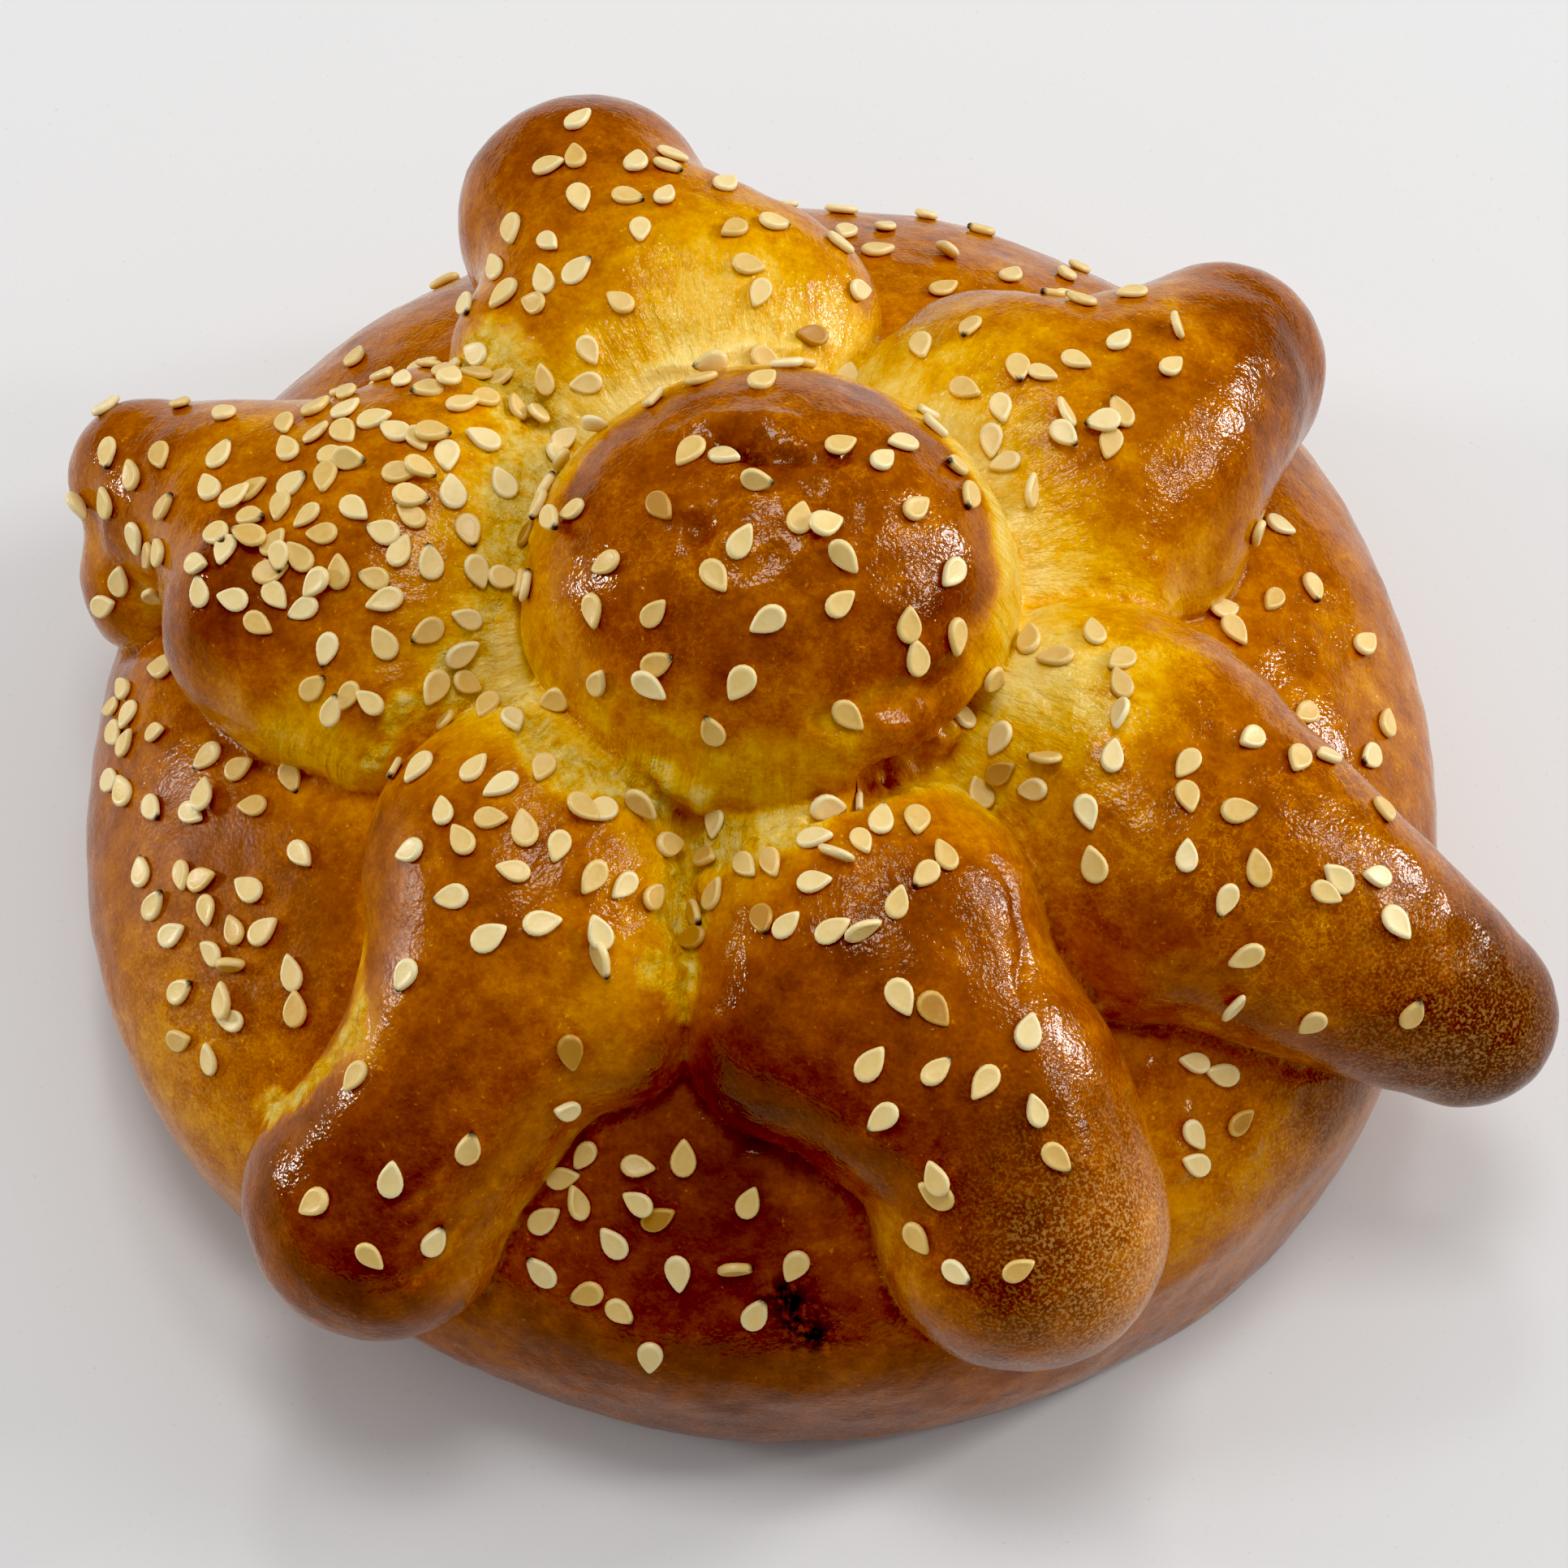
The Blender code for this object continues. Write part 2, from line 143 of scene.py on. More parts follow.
# Browning runs from 0, bare dough, through yellow and gold, to 1, the darkest knob. Headings are round
# the ball, in degrees from +X, and distances are in mm.
CAP_AXIS = (0.0, -0.12, 0.993)
CAP_EDGE = 64
CAP_FADE = {-135: 22, -90: 28, -45: 20, 0: 10, 90: 12, 150: 9, 180: 10}
CAP_LEVEL = 0.69
CAP_WANDER = [Layer(5, 6, 1)]
BALL_RIM = {
    -135: 0.38, -90: 0.34, -60: 0.38, -35: 0.38, -15: 0.24, 0: 0.12,
    30: 0.15, 60: 0.26, 90: 0.32, 150: 0.34, 180: 0.38,
}
ARM_LEVEL = {
    -150: 0.62, -124: 0.70, -95: 0.64, -66: 0.70, -26: 0.62,
    10: 0.58, 36: 0.54, 109: 0.52, 150: 0.54, 172: 0.60,
}
LOAF_LEVEL = {-150: 0.64, -90: 0.72, -45: 0.66, 0: 0.58, 90: 0.58, 180: 0.64}
# The pale ring of dough round the ball
RING_REACH = 9
RING_PALENESS = {
    -175: 0.32, -145: 0.32, -120: 0.32, -100: 0.34, -75: 0.34, -45: 0.33, -20: 0.33,
    15: 0.30, 40: 0.32, 75: 0.36, 100: 0.38, 130: 0.38, 160: 0.36,
}
# Knobs are browner and hollows paler, by how far the skin stands out of what lies round it
BULGE_REACH = 4.0
BULGE_PLAIN = 0.6
BULGE_SPAN = 1.4
ARM_BULGE_BROWNING = 0.14
LOAF_BULGE_BROWNING = 0.06
# Dough is paler in the seams near the ball and where an arm meets the loaf
STRETCH_PALENESS = 0.08
STRETCH_GAP = 2.0
STRETCH_REACH = 16
MEETING_PALENESS = 0.28
MEETING_PATCHES = [Layer(0.12, 3, 39)]
MEETING_GAP = 1.1
# How far the parts' browning blends, and how patchy it is
LEVEL_BLEND = 0.35
LEVEL_PATCHES = [Layer(0.05, 9, 2), Layer(0.05, 3.5, 3), Layer(0.03, 1.8, 33)]
TORN_PATCHES = [Layer(0.09, 2.4, 34), Layer(0.05, 1.0, 35)]
# Painted shade in the crown's dimples
DIMPLE_SHADE = 0.10

# Relief, in mm: the crust swells everywhere, and is cut by seams, which torn dough fills
SWELL = [Layer(0.28, 13, 4), Layer(0.10, 5, 5), Layer(0.05, 2.2, 36)]
SEAM_DEPTH = 1.0
SEAM_FILL = 1.1
SEAM_WIDTH = 0.55
# Dough browned less than this is crumpled, and so is torn dough, which also has shreds and folds
BARE_LEVELS = (0.40, 0.15)
CRUMPLE = Layer(0.10, 2.6, 6)
SHREDS = Layer(0.35, 1.5, 40)
TORN_RISE = 0.20
TORN_FOLDS = [Layer(0.42, 2.2, 7), Layer(0.24, 1.1, 37)]
# The ball's crown, by its distance from the ball's axis
CROWN_REACH = 9
CROWN_SWELL = [Layer(0.55, 4.0, 8)]
CROWN_FOLDS = Layer(0.30, 2.4, 38)
CROWN_FOLD_TOP = 0.5

# Streaks in stretched dough: how many run outwards round the ball, and how long they are
STREAKS_ROUND = 22
STREAK_STEP = 0.30
STREAK_LEVELS = (0.46, 0.22)
# Arms and ball are streaked between these distances from the ball's axis, in mm
PULLED_SHARE = 0.45
PULLED_INNER = (16, 24)
PULLED_OUTER = (48, 30)
# How strong the web of thin pale lines is where no spot adds to it
WEB_SHARE = 0.25

# Places on the crust, in mm, how far each spreads and how strong it is
Spot = namedtuple("Spot", "x y z radius amount")
DARK_SPOTS = [
    (14, -16.5, 58, 6, 0.30),  # right underside of the ball
    (-16, 0, 58, 6, 0.12),  # left of the ball
    (-18, -6, 54, 6, 0.14),
    (13, -10, 62, 6, 0.16),  # right of the ball
    (-16, 50, 48, 11, 0.12),  # knob of the back arm
    (12, -31, 55, 8, 0.17),  # middle of the front arm
    (-2.3, -42.5, 48.2, 9, 0.24),  # left hump of the front arm
    (20, -54, 44, 12, 0.22),  # knob of the front arm
    (-34, -54, 38, 13, 0.18),  # knob of the left front arm
    (-45.3, -2, 51, 7, 0.26),  # tip of the left hump
    (-57, 17, 42, 8, 0.12),  # left end
    (-18, 47, 50, 12, 0.14),  # knob of the back arm, nearer the ball
    (34, 14, 54, 9, 0.10),  # right back hump
    (48, 28, 47, 12, 0.32),  # knob of the right back arm
    (63, -35, 36, 12, 0.48),  # tip of the right arm
    (44, -20, 52, 11, 0.08),  # back of the right arm
    # Painted shade on the loaf under the front hump's overhang
    (-2, -48, 36, 14, 0.12),  # loaf under the front hump
    (-40, -20, 36, 14, 0.10),  # loaf, left
    # Painted shade low on the loaf's front
    (-6, -60, 12, 14, 0.12),  # loaf, low in front
]
PALE_SPOTS = [
    # Paler here, partly painted sheen
    (-23, -9, 52, 6, 0.20),  # root of the left front arm
    (-2.6, 30.6, 56.2, 8, 0.22),  # middle of the back arm
    (-6, 13, 67, 6, 0.06),  # back of the ball
    (35.5, 2.3, 47.6, 6, 0.12),  # flank of the right back arm
    (-22.7, -52.4, 34.4, 6, 0.18),  # right side of the left front knob
    # Paler here, partly painted sheen
    (-50.9, -36, 23, 15, 0.14),  # loaf, low at the left
    (38, -45.5, 25.4, 11, 0.16),  # loaf, low at the right
    (31, -56, 38, 8, 0.12),  # right side of the front knob
    (-10, -30, 49, 5, 0.08),  # left front arm, beside its seam
    (-42, -10, 46, 6, 0.20),  # under the left hump
    (-37, -13, 45, 6, 0.26),
    (11, -55, 36, 6, 0.32),  # left side of the front knob
    (-9, -39, 48, 7, 0.28),  # right side of the left front arm
    (-20, -45, 44, 5, 0.10),
    (-33.3, -40, 45.5, 3.5, 0.30),  # left edge of the left front arm
    (25.5, -36, 49, 4, 0.08),  # right flank of the front arm
    (29, -12.4, 56, 8, 0.26),  # root of the right arm
    (40, 25, 52, 3, 0.18),  # pale line on the right back knob
]
# A pale speckled haze on the crust; on the loaf's low left side it is partly painted sheen
HAZE_AND_SHEEN_SPOTS = [
    (31, -56, 38, 11, 0.9),  # right side of the front knob
    (52, -32, 45, 9, 0.25),  # right arm
    (62, -36, 36, 8, 0.35),
    # Loaf, low at the left: partly painted sheen
    (-50, -33, 22, 14, 0.35),  # loaf, low at the left
    (50, -36, 22, 14, 0.4),  # loaf, low at the right
]
WEB_SPOTS = [
    (44, -22, 50, 16, 1.0),  # right arm
    (60, -32, 40, 12, 0.9),
    (26, -52, 42, 10, 0.7),  # front knob
    (50, 24, 46, 12, 0.6),  # right back knob
    (1, -2, 68, 15, 0.6),  # ball
    (-48, -30, 30, 16, 0.5),  # loaf, left
]
STREAK_SPOTS = [
    (-25, -52, 37, 7, 0.9),  # right side of the left front knob
    (-30, -55, 33, 6, 0.6),
    (8, 32, 54, 9, 0.5),  # back arm, right
]
DULL_SPOTS = [
    (-32, -18, 46, 9, 1.2),  # left edge of the left front arm
    (-33, -28, 44, 9, 1.2),
    (-52, -22, 34, 13, 0.9),  # loaf, left
    (24, -27, 50, 6, 0.4),  # right edge of the front arm
]
BURN_SPOTS = [(2.7, -56, 29.5, 2.2, 1.0), (4.0, -58, 26.5, 2.4, 1.0)]
CROWN_DIMPLES = [
    (-2.0, 2.6, 70.0, 2.6, 1.4),
    (-5.2, -5.2, 69.6, 1.8, 1.4),
    (1.9, -7.6, 69.8, 1.3, 0.5),
    (2.6, 0.6, 70.6, 1.5, 0.6),
    (-1.6, -1.8, 70.4, 1.2, 0.5),
    (6.4, -3.6, 69.6, 1.5, 0.35),
    (-8.6, 0.4, 68.4, 1.6, 0.4),
]
BLISTERS = [
    (36.1, -40.1, 31.8, 0.8, 0.5),
    (35.5, -42.6, 30.2, 0.8, 0.5),
    (35.9, -44.1, 28.8, 0.9, 0.6),
    (42.6, -40.9, 26.5, 0.7, 0.4),
    (32.7, -37.4, 35.0, 0.8, 0.35),
]

# Lines on the crust are followed mostly in plan, as they were read from above
LINE_HEIGHT_WEIGHT = 0.4
# Where a tear's border starts and ends, in shares of its width, and how ragged the border is
TEAR_FADE = (1.1, 0.4)
TEAR_BLEND = 0.5
TEAR_WANDER = [Layer(0.6, 2.8, 31), Layer(0.4, 1.3, 32)]
# Torn strips, where the rising dough pulled apart: how far each spreads, how brown it is and its line
Tear = namedtuple("Tear", "width level points")
TEARS = [
    # Left of the back arm and of the ball
    Tear(3.6, 0.14, [(-25.3, 26.1, 49.7), (-21.6, 20.6, 51.4), (-20, 16, 52.4)]),
    Tear(3.4, 0.14, [(-20, 16, 52.4), (-20.4, 10.6, 54.3), (-21, 6, 54.8), (-21.6, 2.8, 54.9)]),
    Tear(2.2, 0.16, [(-21.6, 2.8, 54.9), (-23, 0, 54.4), (-24, -5, 52)]),
    # Under the left arm
    Tear(1.7, 0.18, [(-25.3, -7.5, 50.4), (-29.2, -10.6, 50.3), (-32.3, -13.6, 47)]),
    # In front of the ball, at its left
    Tear(2.4, 0.15, [(-22.5, -8.5, 52), (-18.6, -15.8, 55.2), (-15.4, -20.2, 55.9), (-8.9, -20.9, 53.6)]),
    # Left edge of the left front arm, and the seam at its right
    Tear(2.0, 0.22, [(-33.6, -38.5, 44.9), (-36.3, -40, 41.1), (-39.9, -41.1, 35.9), (-42, -39, 29)]),
    Tear(2.3, 0.20, [(-6.8, -26.3, 49.6), (-5.7, -29.4, 49), (-6.5, -33.1, 48.9), (-7.3, -36.6, 49.1)]),
    # Root of the front arm
    Tear(2.6, 0.14, [(-4.4, -24.1, 50.5), (-0.3, -24.8, 53.3), (3.4, -25.2, 54.8)]),
]
# Creases, each with its depth, half its width and how much paler it is: ridges have a depth below 0, and a
# paleness below 0 paints shade into the crease
Crease = namedtuple("Crease", "depth width paleness points")
CREASES = [
    # Gap under the ball, at its front right, with painted shade in it, and the folds over it
    Crease(3.0, 0.6, -0.04, [(5, -23.3, 54), (10, -21.3, 54.5), (15, -17.5, 54.5), (18.5, -13, 54.5)]),
    Crease(0.7, 0.7, 0.12, [(4.6, -18.2, 63), (7.1, -18.3, 61.8), (9.6, -17.2, 61.8), (14.5, -15.2, 59.7)]),
    Crease(-0.5, 1.2, 0.02, [(7, -19.3, 60), (10.3, -18.4, 59.5), (14, -16.8, 58)]),
    # Flap of torn skin in front of the ball
    Crease(-1.0, 0.9, 0.34, [(-10.8, -21, 54.1), (-7.8, -20.8, 53.8), (-4.4, -21.5, 54.3)]),
    # Root of the back arm
    Crease(-0.5, 0.5, 0.10, [(-9.7, 20.9, 54.3), (-5.4, 22.1, 54.7), (-1.3, 23.3, 54.3), (3.1, 24.4, 53)]),
    # Right edge of the front arm: a fold with a line of painted shade in it
    Crease(0.25, 0.45, -0.12, [(19.6, -27, 53), (20.8, -30.3, 52.2), (21.2, -33.7, 51.6), (22, -38, 50.8)]),
    # Left edge of the left front arm
    Crease(
        0.0, 0.9, 0.26, [(-33.6, -22.8, 42), (-33.9, -27.4, 41.5), (-33.2, -33.1, 44.4), (-33, -37, 45.8)]
    ),
    # Folds of the ball's crown
    Crease(-0.6, 0.9, 0.05, [(-6.3, 4.6, 68.9), (-3.7, 5.9, 69.3), (-0.7, 5.7, 69.7), (3, 4.9, 69.9)]),
    # A furrow in the crown, with painted shade in it
    Crease(0.7, 0.7, -0.12, [(-3.6, 3.4, 69.9), (1.7, 1.5, 70.8), (5, 0.6, 70.4), (7.5, 1.4, 69.6)]),
    Crease(-0.4, 0.7, 0.04, [(-7.4, -3.2, 69), (-5, -2.6, 70), (-3.1, -4.4, 70.2), (-3, -6.6, 69.8)]),
    # Right side of the left front knob
    Crease(0.15, 0.4, 0.16, [(-30.4, -53.5, 38), (-27, -50.5, 41.5), (-24, -48, 43)]),
    Crease(0.15, 0.4, 0.14, [(-29.4, -56.6, 34), (-25.4, -54.1, 36), (-22, -50.5, 38.5)]),
]

# Colours, linear
CRUST_TONES = [
    (0.00, (0.86, 0.65, 0.20)),
    (0.14, (0.81, 0.53, 0.08)),
    (0.28, (0.74, 0.38, 0.012)),
    (0.42, (0.60, 0.240, 0.003)),
    (0.56, (0.44, 0.132, 0.001)),
    (0.70, (0.29, 0.072, 0.002)),
    (0.85, (0.18, 0.042, 0.002)),
    (1.00, (0.11, 0.026, 0.003)),
]
SHEEN_TINT = (1.0, 0.95, 0.89)
HAZE_AND_SHEEN_COLOUR = (0.60, 0.33, 0.12)
BURN_COLOUR = (0.02, 0.008, 0.005)
SEED_TONES = [
    (0.00, (0.46, 0.22, 0.04)),
    (0.22, (0.66, 0.40, 0.10)),
    (0.60, (0.80, 0.58, 0.22)),
    (1.00, (0.88, 0.75, 0.42)),
]
SEED_TIP_COLOUR = (0.06, 0.03, 0.015)
FLOOR_COLOURS = ((0.755, 0.755, 0.75), (0.72, 0.715, 0.71))
FLOOR_SPECK_COLOUR = (0.60, 0.58, 0.56)

# Sesame: one seed, and how the seeds lie
SEED_LENGTH = 3.1 * MM
SEED_WIDTH = 2.45 * MM
SEED_THICKNESS = 0.85 * MM
SEED_SIDES = 18
SEED_FACE_HEIGHT = 0.80
# Share of the outline and height of each ring, in half thicknesses, from the face down
SEED_RINGS = [
    (0.35, 0.81), (0.66, 0.86), (0.82, 0.94), (0.93, 0.72), (1.0, 0.25), (0.96, -0.3), (0.7, -0.8),
]
# How much narrower a seed is at its pointed end, and how far and how sharply the point is drawn out
SEED_TAPER = 0.48
SEED_POINT = 0.10
SEED_POINT_POWER = 6
# The rings nearest the middle belong to the face, which is a shade darker than the rim
SEED_FACE_RINGS = 2
SEED_FACE_SHADE = 0.18
SEED_DRAW = 11
SEED_TRIES = (2, 4, 8)
# Seeds nearer than the first share of the spacing are left out, and below the second they lie on top
SEED_SPACING = 2.5 * MM
SEED_CLOSEST = 0.5
SEED_STACKED = 0.85
SEED_STACK_RISE = 0.8
# At how many places round a seed, and how far out, the crust is felt, and how uneven it may be
SEED_FEET = 8
SEED_FOOT_REACH = 0.4
SEED_UNEVENNESS = 0.9 * MM
# Shares of the seeds that stand on edge, are toasted or have a dark point
SEED_ON_EDGE = 0.07
SEED_TOASTED = 0.03
SEED_DARK_TIPS = 0.25
SEED_TIP_SPAN = (0.80, 0.98)
# How the seeds differ: lowest and highest, or spread, with angles in degrees
SEED_SIZES = (0.90, 1.08)
SEED_WIDTHS = (0.9, 1.05)
SEED_THICKNESSES = (0.85, 1.15)
SEED_LEAN = 7
SEED_EDGE_LEANS = (45, 75)
SEED_EDGE_FROM = 30
SEED_TIP_LEAN = 4
SEED_STACKED_LEAN = 6
SEED_SUNK = 0.12 * MM
SEED_EDGE_RISE = 0.35 * MM
SEED_PLAIN_TONES = (0.45, 1)
SEED_TOASTED_TONES = (0.06, 0.22)
# Patches are seen from inside the bun: the heading from +X and the rise above the horizontal of a
# patch's middle, and how far it spreads across and along, in degrees, then the seeds on it.
SEED_ORIGIN = Vector((0, 0, 10)) * MM
SEED_CAST = 120 * MM
Patch = namedtuple("Patch", "heading rise across along seeds")
SEED_PATCHES = [
    # Left arm: end, upper side, middle, tip, low side and root
    (163, 30, 9, 10, 17), (152, 48, 9, 9, 19), (168, 51, 9, 9, 24),
    (177, 45, 6, 5, 9), (-173, 52, 9, 8, 17), (165, 64, 10, 6, 12),
    # Back arm: knob, middle, left and right
    (106, 45, 10, 5, 8), (113, 49, 10, 6, 8), (128, 52, 10, 10, 16),
    (84, 56, 8, 10, 9),
    # Ball: crown, front, left, right and back
    (-90, 87, 11, 8, 10), (-90, 75, 15, 6, 10), (-150, 72, 10, 8, 6),
    (-8, 76, 18, 6, 10), (110, 76, 12, 5, 7),
    # Right back arm: root, middle and far end
    (46, 60, 10, 8, 10), (31, 58, 8, 6, 7), (40, 45, 10, 5, 6),
    # Right arm: root, middle, far end and edge
    (-30, 58, 10, 6, 14), (-38, 47, 8, 8, 8), (-35, 33, 8, 8, 8),
    (-21, 40, 5, 8, 4),
    # Front arm: root, far end and knob
    (-78, 57, 10, 6, 17), (-71, 39, 8, 8, 11), (-74, 30, 5, 4, 3),
    # Left front arm: root, middle, seam, far end and knob
    (-143, 55, 10, 8, 12), (-122, 54, 11, 8, 15), (-100, 55, 2, 8, 5),
    (-120, 36, 10, 10, 6), (-120, 24, 6, 4, 3),
    # Loaf: back, right, left edge, left, low at the left, front, right front, back left and behind
    (66, 25, 18, 9, 14), (4, 28, 16, 10, 13), (178, 19, 9, 5, 10),
    (-161, 26, 12, 9, 18), (-150, 23, 9, 8, 9), (-99, 22, 12, 9, 18),
    (-46, 22, 5, 6, 5), (140, 28, 10, 6, 5), (105, 15, 20, 10, 10),
]

# Studio: the floor, and lamps by heading, rise, distance, width, height and power
FLOOR_HALF_WIDTH = 3.0
FLOOR_GAP = 0.0002
LIGHT_TARGET = Vector((0, 0, 0.03))
LAMPS = [
    ("lamp_top", 95, 86, 2.0, 0.52, 0.52, 10.0),
    ("lamp_back", 90, 61, 2.0, 0.26, 0.26, 3.6),
    ("lamp_left", 170, 12, 2.0, 0.26, 0.38, 13.0),
    ("lamp_right", 22, 16, 2.0, 0.36, 0.38, 14.5),
    ("lamp_side", 1, 28, 2.0, 0.20, 0.36, 6.0),
    ("lamp_upper", 19, 36, 2.0, 0.24, 0.24, 4.0),
]
# The room is brightest overhead and dim near the horizon
ROOM_COLOUR = (0.97, 0.98, 1.0)
ROOM_BRIGHT_HEADING = 90
ROOM_BRIGHT_RISE = 85
ROOM_STRENGTHS = (0.08, 0.70)
BLACK_LEVEL = 0.028

# Camera
PHOTO_PIXELS = 1932
FOCAL_PIXELS = 5576
SENSOR_WIDTH = 36
CAMERA_HEADING = -90
CAMERA_RISE = 61
CAMERA_DISTANCE = 0.410
CAMERA_TARGET = Vector((2.1, -4.2, 25)) * MM
CAMERA_CLIP = 0.01


def placed(name, data):
    """A new scene object for the mesh, lamp or camera."""
    obj = bpy.data.objects.new(name, data)
    bpy.context.scene.collection.objects.link(obj)
    return obj


def add_object(name, bm):
    """A new scene object that holds the bmesh."""
    mesh = bpy.data.meshes.new(name)
    bm.to_mesh(mesh)
    bm.free()
    return placed(name, mesh)


def apply_modifiers(obj):
    """The object's mesh becomes what its modifiers make of it."""
    graph = bpy.context.evaluated_depsgraph_get()
    made = bpy.data.meshes.new_from_object(obj.evaluated_get(graph))
    obj.modifiers.clear()
    obj.data = made


def arm_point(heading, out, side, height):
    """A place on an arm, from its heading in degrees and distances in mm."""
    angle = math.radians(heading)
    along = Vector((math.cos(angle), math.sin(angle), 0))
    left = Vector((-along.y, along.x, 0))
    return (along * out + left * side + Vector((0, 0, height))) * MM


def through(points, steps):
    """Rows of numbers along a smooth curve through the given rows, by Catmull-Rom."""
    rows = np.array(points, float)
    padded = np.vstack([2 * rows[0] - rows[1], rows, 2 * rows[-1] - rows[-2]])
    made = []
    for before, start, end, after in zip(padded, padded[1:], padded[2:], padded[3:]):
        for t in np.linspace(0, 1, steps, endpoint=False):
            made.append(
                0.5
                * (
                    2 * start
                    + (end - before) * t
                    + (2 * before - 5 * start + 4 * end - after) * t**2
                    + (3 * start - before - 3 * end + after) * t**3
                )
            )
    made.append(rows[-1])
    return np.array(made)


def close_tube(bm, rings):
    """Skins a row of rings of vertices and closes both ends, facing out."""
    for ring, following in zip(rings, rings[1:]):
        for k in range(len(ring)):
            after = (k + 1) % len(ring)
            bm.faces.new((ring[k], ring[after], following[after], following[k]))
    bm.faces.new(reversed(rings[0]))
    bm.faces.new(rings[-1])
    bmesh.ops.recalc_face_normals(bm, faces=bm.faces)


def loaf_side(turn, reach, foot):
    """How far out and how high the loaf's skin is, by the angle from its crown down to its foot."""
    level = math.cos(turn)
    if level >= 0:
        return math.sin(turn) * reach, LOAF_WIDEST_HEIGHT + level * LOAF_CROWN_RISE
    out = foot + (reach - foot) * math.sqrt(1 - abs(level) ** LOAF_SIDE_POWER)
    return out, LOAF_WIDEST_HEIGHT + level * (LOAF_WIDEST_HEIGHT + LOAF_SINK)


def loaf():
    """A domed round of dough, not quite circular, whose sides roll in to a narrower foot."""
    turns = len(LOAF_REACH)
    steps = LOAF_SEGMENTS // turns
    closed = [(LOAF_REACH[k % turns], LOAF_FOOT[k % turns]) for k in range(-1, turns + 2)]
    outline = through(closed, steps)[steps : steps * (turns + 1)] * MM
    bm = bmesh.new()
    rings = []
    for step in range(1, LOAF_RINGS + 1):
        ring = []
        for k, (reach, foot) in enumerate(outline):
            out, height = loaf_side(math.pi * step / LOAF_RINGS, reach, foot)
            heading = 2 * math.pi * k / LOAF_SEGMENTS
            ring.append(bm.verts.new((out * math.cos(heading), out * math.sin(heading), height)))
        rings.append(ring)
    close_tube(bm, rings)
    return add_object("loaf", bm)


def lump(centre, radii, heading=0):
    """An ellipsoid of dough, its first radius along the heading."""
    bm = bmesh.new()
    place = Matrix.LocRotScale(centre, Matrix.Rotation(math.radians(heading), 3, "Z"), radii)
    bmesh.ops.create_icosphere(bm, subdivisions=LUMP_SUBDIVISIONS, radius=1, matrix=place)
    return add_object("lump", bm)


def rope(arm):
    """A closed tube with oval sections through an arm's stations."""
    spine = [
        (*arm_point(arm.heading, s.out, s.side, s.height), s.half_width * MM, s.half_thickness * MM)
        for s in map(Station._make, arm.rope)
    ]
    rows = through(spine, ROPE_STEPS)
    tangents = np.gradient(rows[:, :3], axis=0)
    bm = bmesh.new()
    rings = []
    for row, tangent in zip(rows, tangents):
        along = Vector(tangent).normalized()
        across = along.cross(Vector((0, 0, 1))).normalized()
        up = across.cross(along)
        ring = []
        for k in range(ROPE_SIDES):
            turn = 2 * math.pi * k / ROPE_SIDES
            place = Vector(row[:3]) + across * math.cos(turn) * row[3] + up * math.sin(turn) * row[4]
            ring.append(bm.verts.new(place))
        rings.append(ring)
    close_tube(bm, rings)
    return add_object("rope", bm)


def fuse(name, pieces, voxel, smoothing):
    """Joins overlapping pieces into one skin, then softens it."""
    bm = bmesh.new()
    for piece in pieces:
        bm.from_mesh(piece.data)
        bpy.data.objects.remove(piece)
    fused = add_object(name, bm)
    remesh = fused.modifiers.new("Fuse", "REMESH")
    remesh.mode = "VOXEL"
    remesh.voxel_size = voxel
    soften = fused.modifiers.new("Soften", "SMOOTH")
    soften.iterations = smoothing
    apply_modifiers(fused)
    return fused


def arm_of_dough(name, arm):
    """One arm: its rope and the knuckles on it, joined."""
    pieces = [rope(arm)]
    for k in map(Knuckle._make, arm.knuckles):
        centre = arm_point(arm.heading, k.out, k.side, k.height)
        radii = Vector((k.half_length, k.half_width, k.half_thickness)) * MM
        pieces.append(lump(centre, radii, arm.heading))
    return fuse(name, pieces, ARM_VOXEL, ARM_SMOOTHING)


def dough_pieces():
    """The loaf, the arms and the ball, with the skin that each has before they are joined."""
    pieces = {"loaf": loaf()}
    for name, arm in ARMS.items():
        pieces[name] = arm_of_dough(name, arm)
    pieces["ball"] = lump(BALL_CENTRE, BALL_RADII)
    graph = bpy.context.evaluated_depsgraph_get()
    skins = {name: BVHTree.FromObject(piece, graph) for name, piece in pieces.items()}
    return pieces, skins


def smoothstep(low, high, values):
    """0 below the low value, 1 above the high one, and a soft step between them."""
    share = np.clip((values - low) / (high - low), 0, 1)
    return share * share * (3 - 2 * share)


def fading(distance, reach):
    """1 at no distance, fading softly to a third at the reach and to nothing beyond it."""
    return np.exp(-((distance / reach) ** 2))


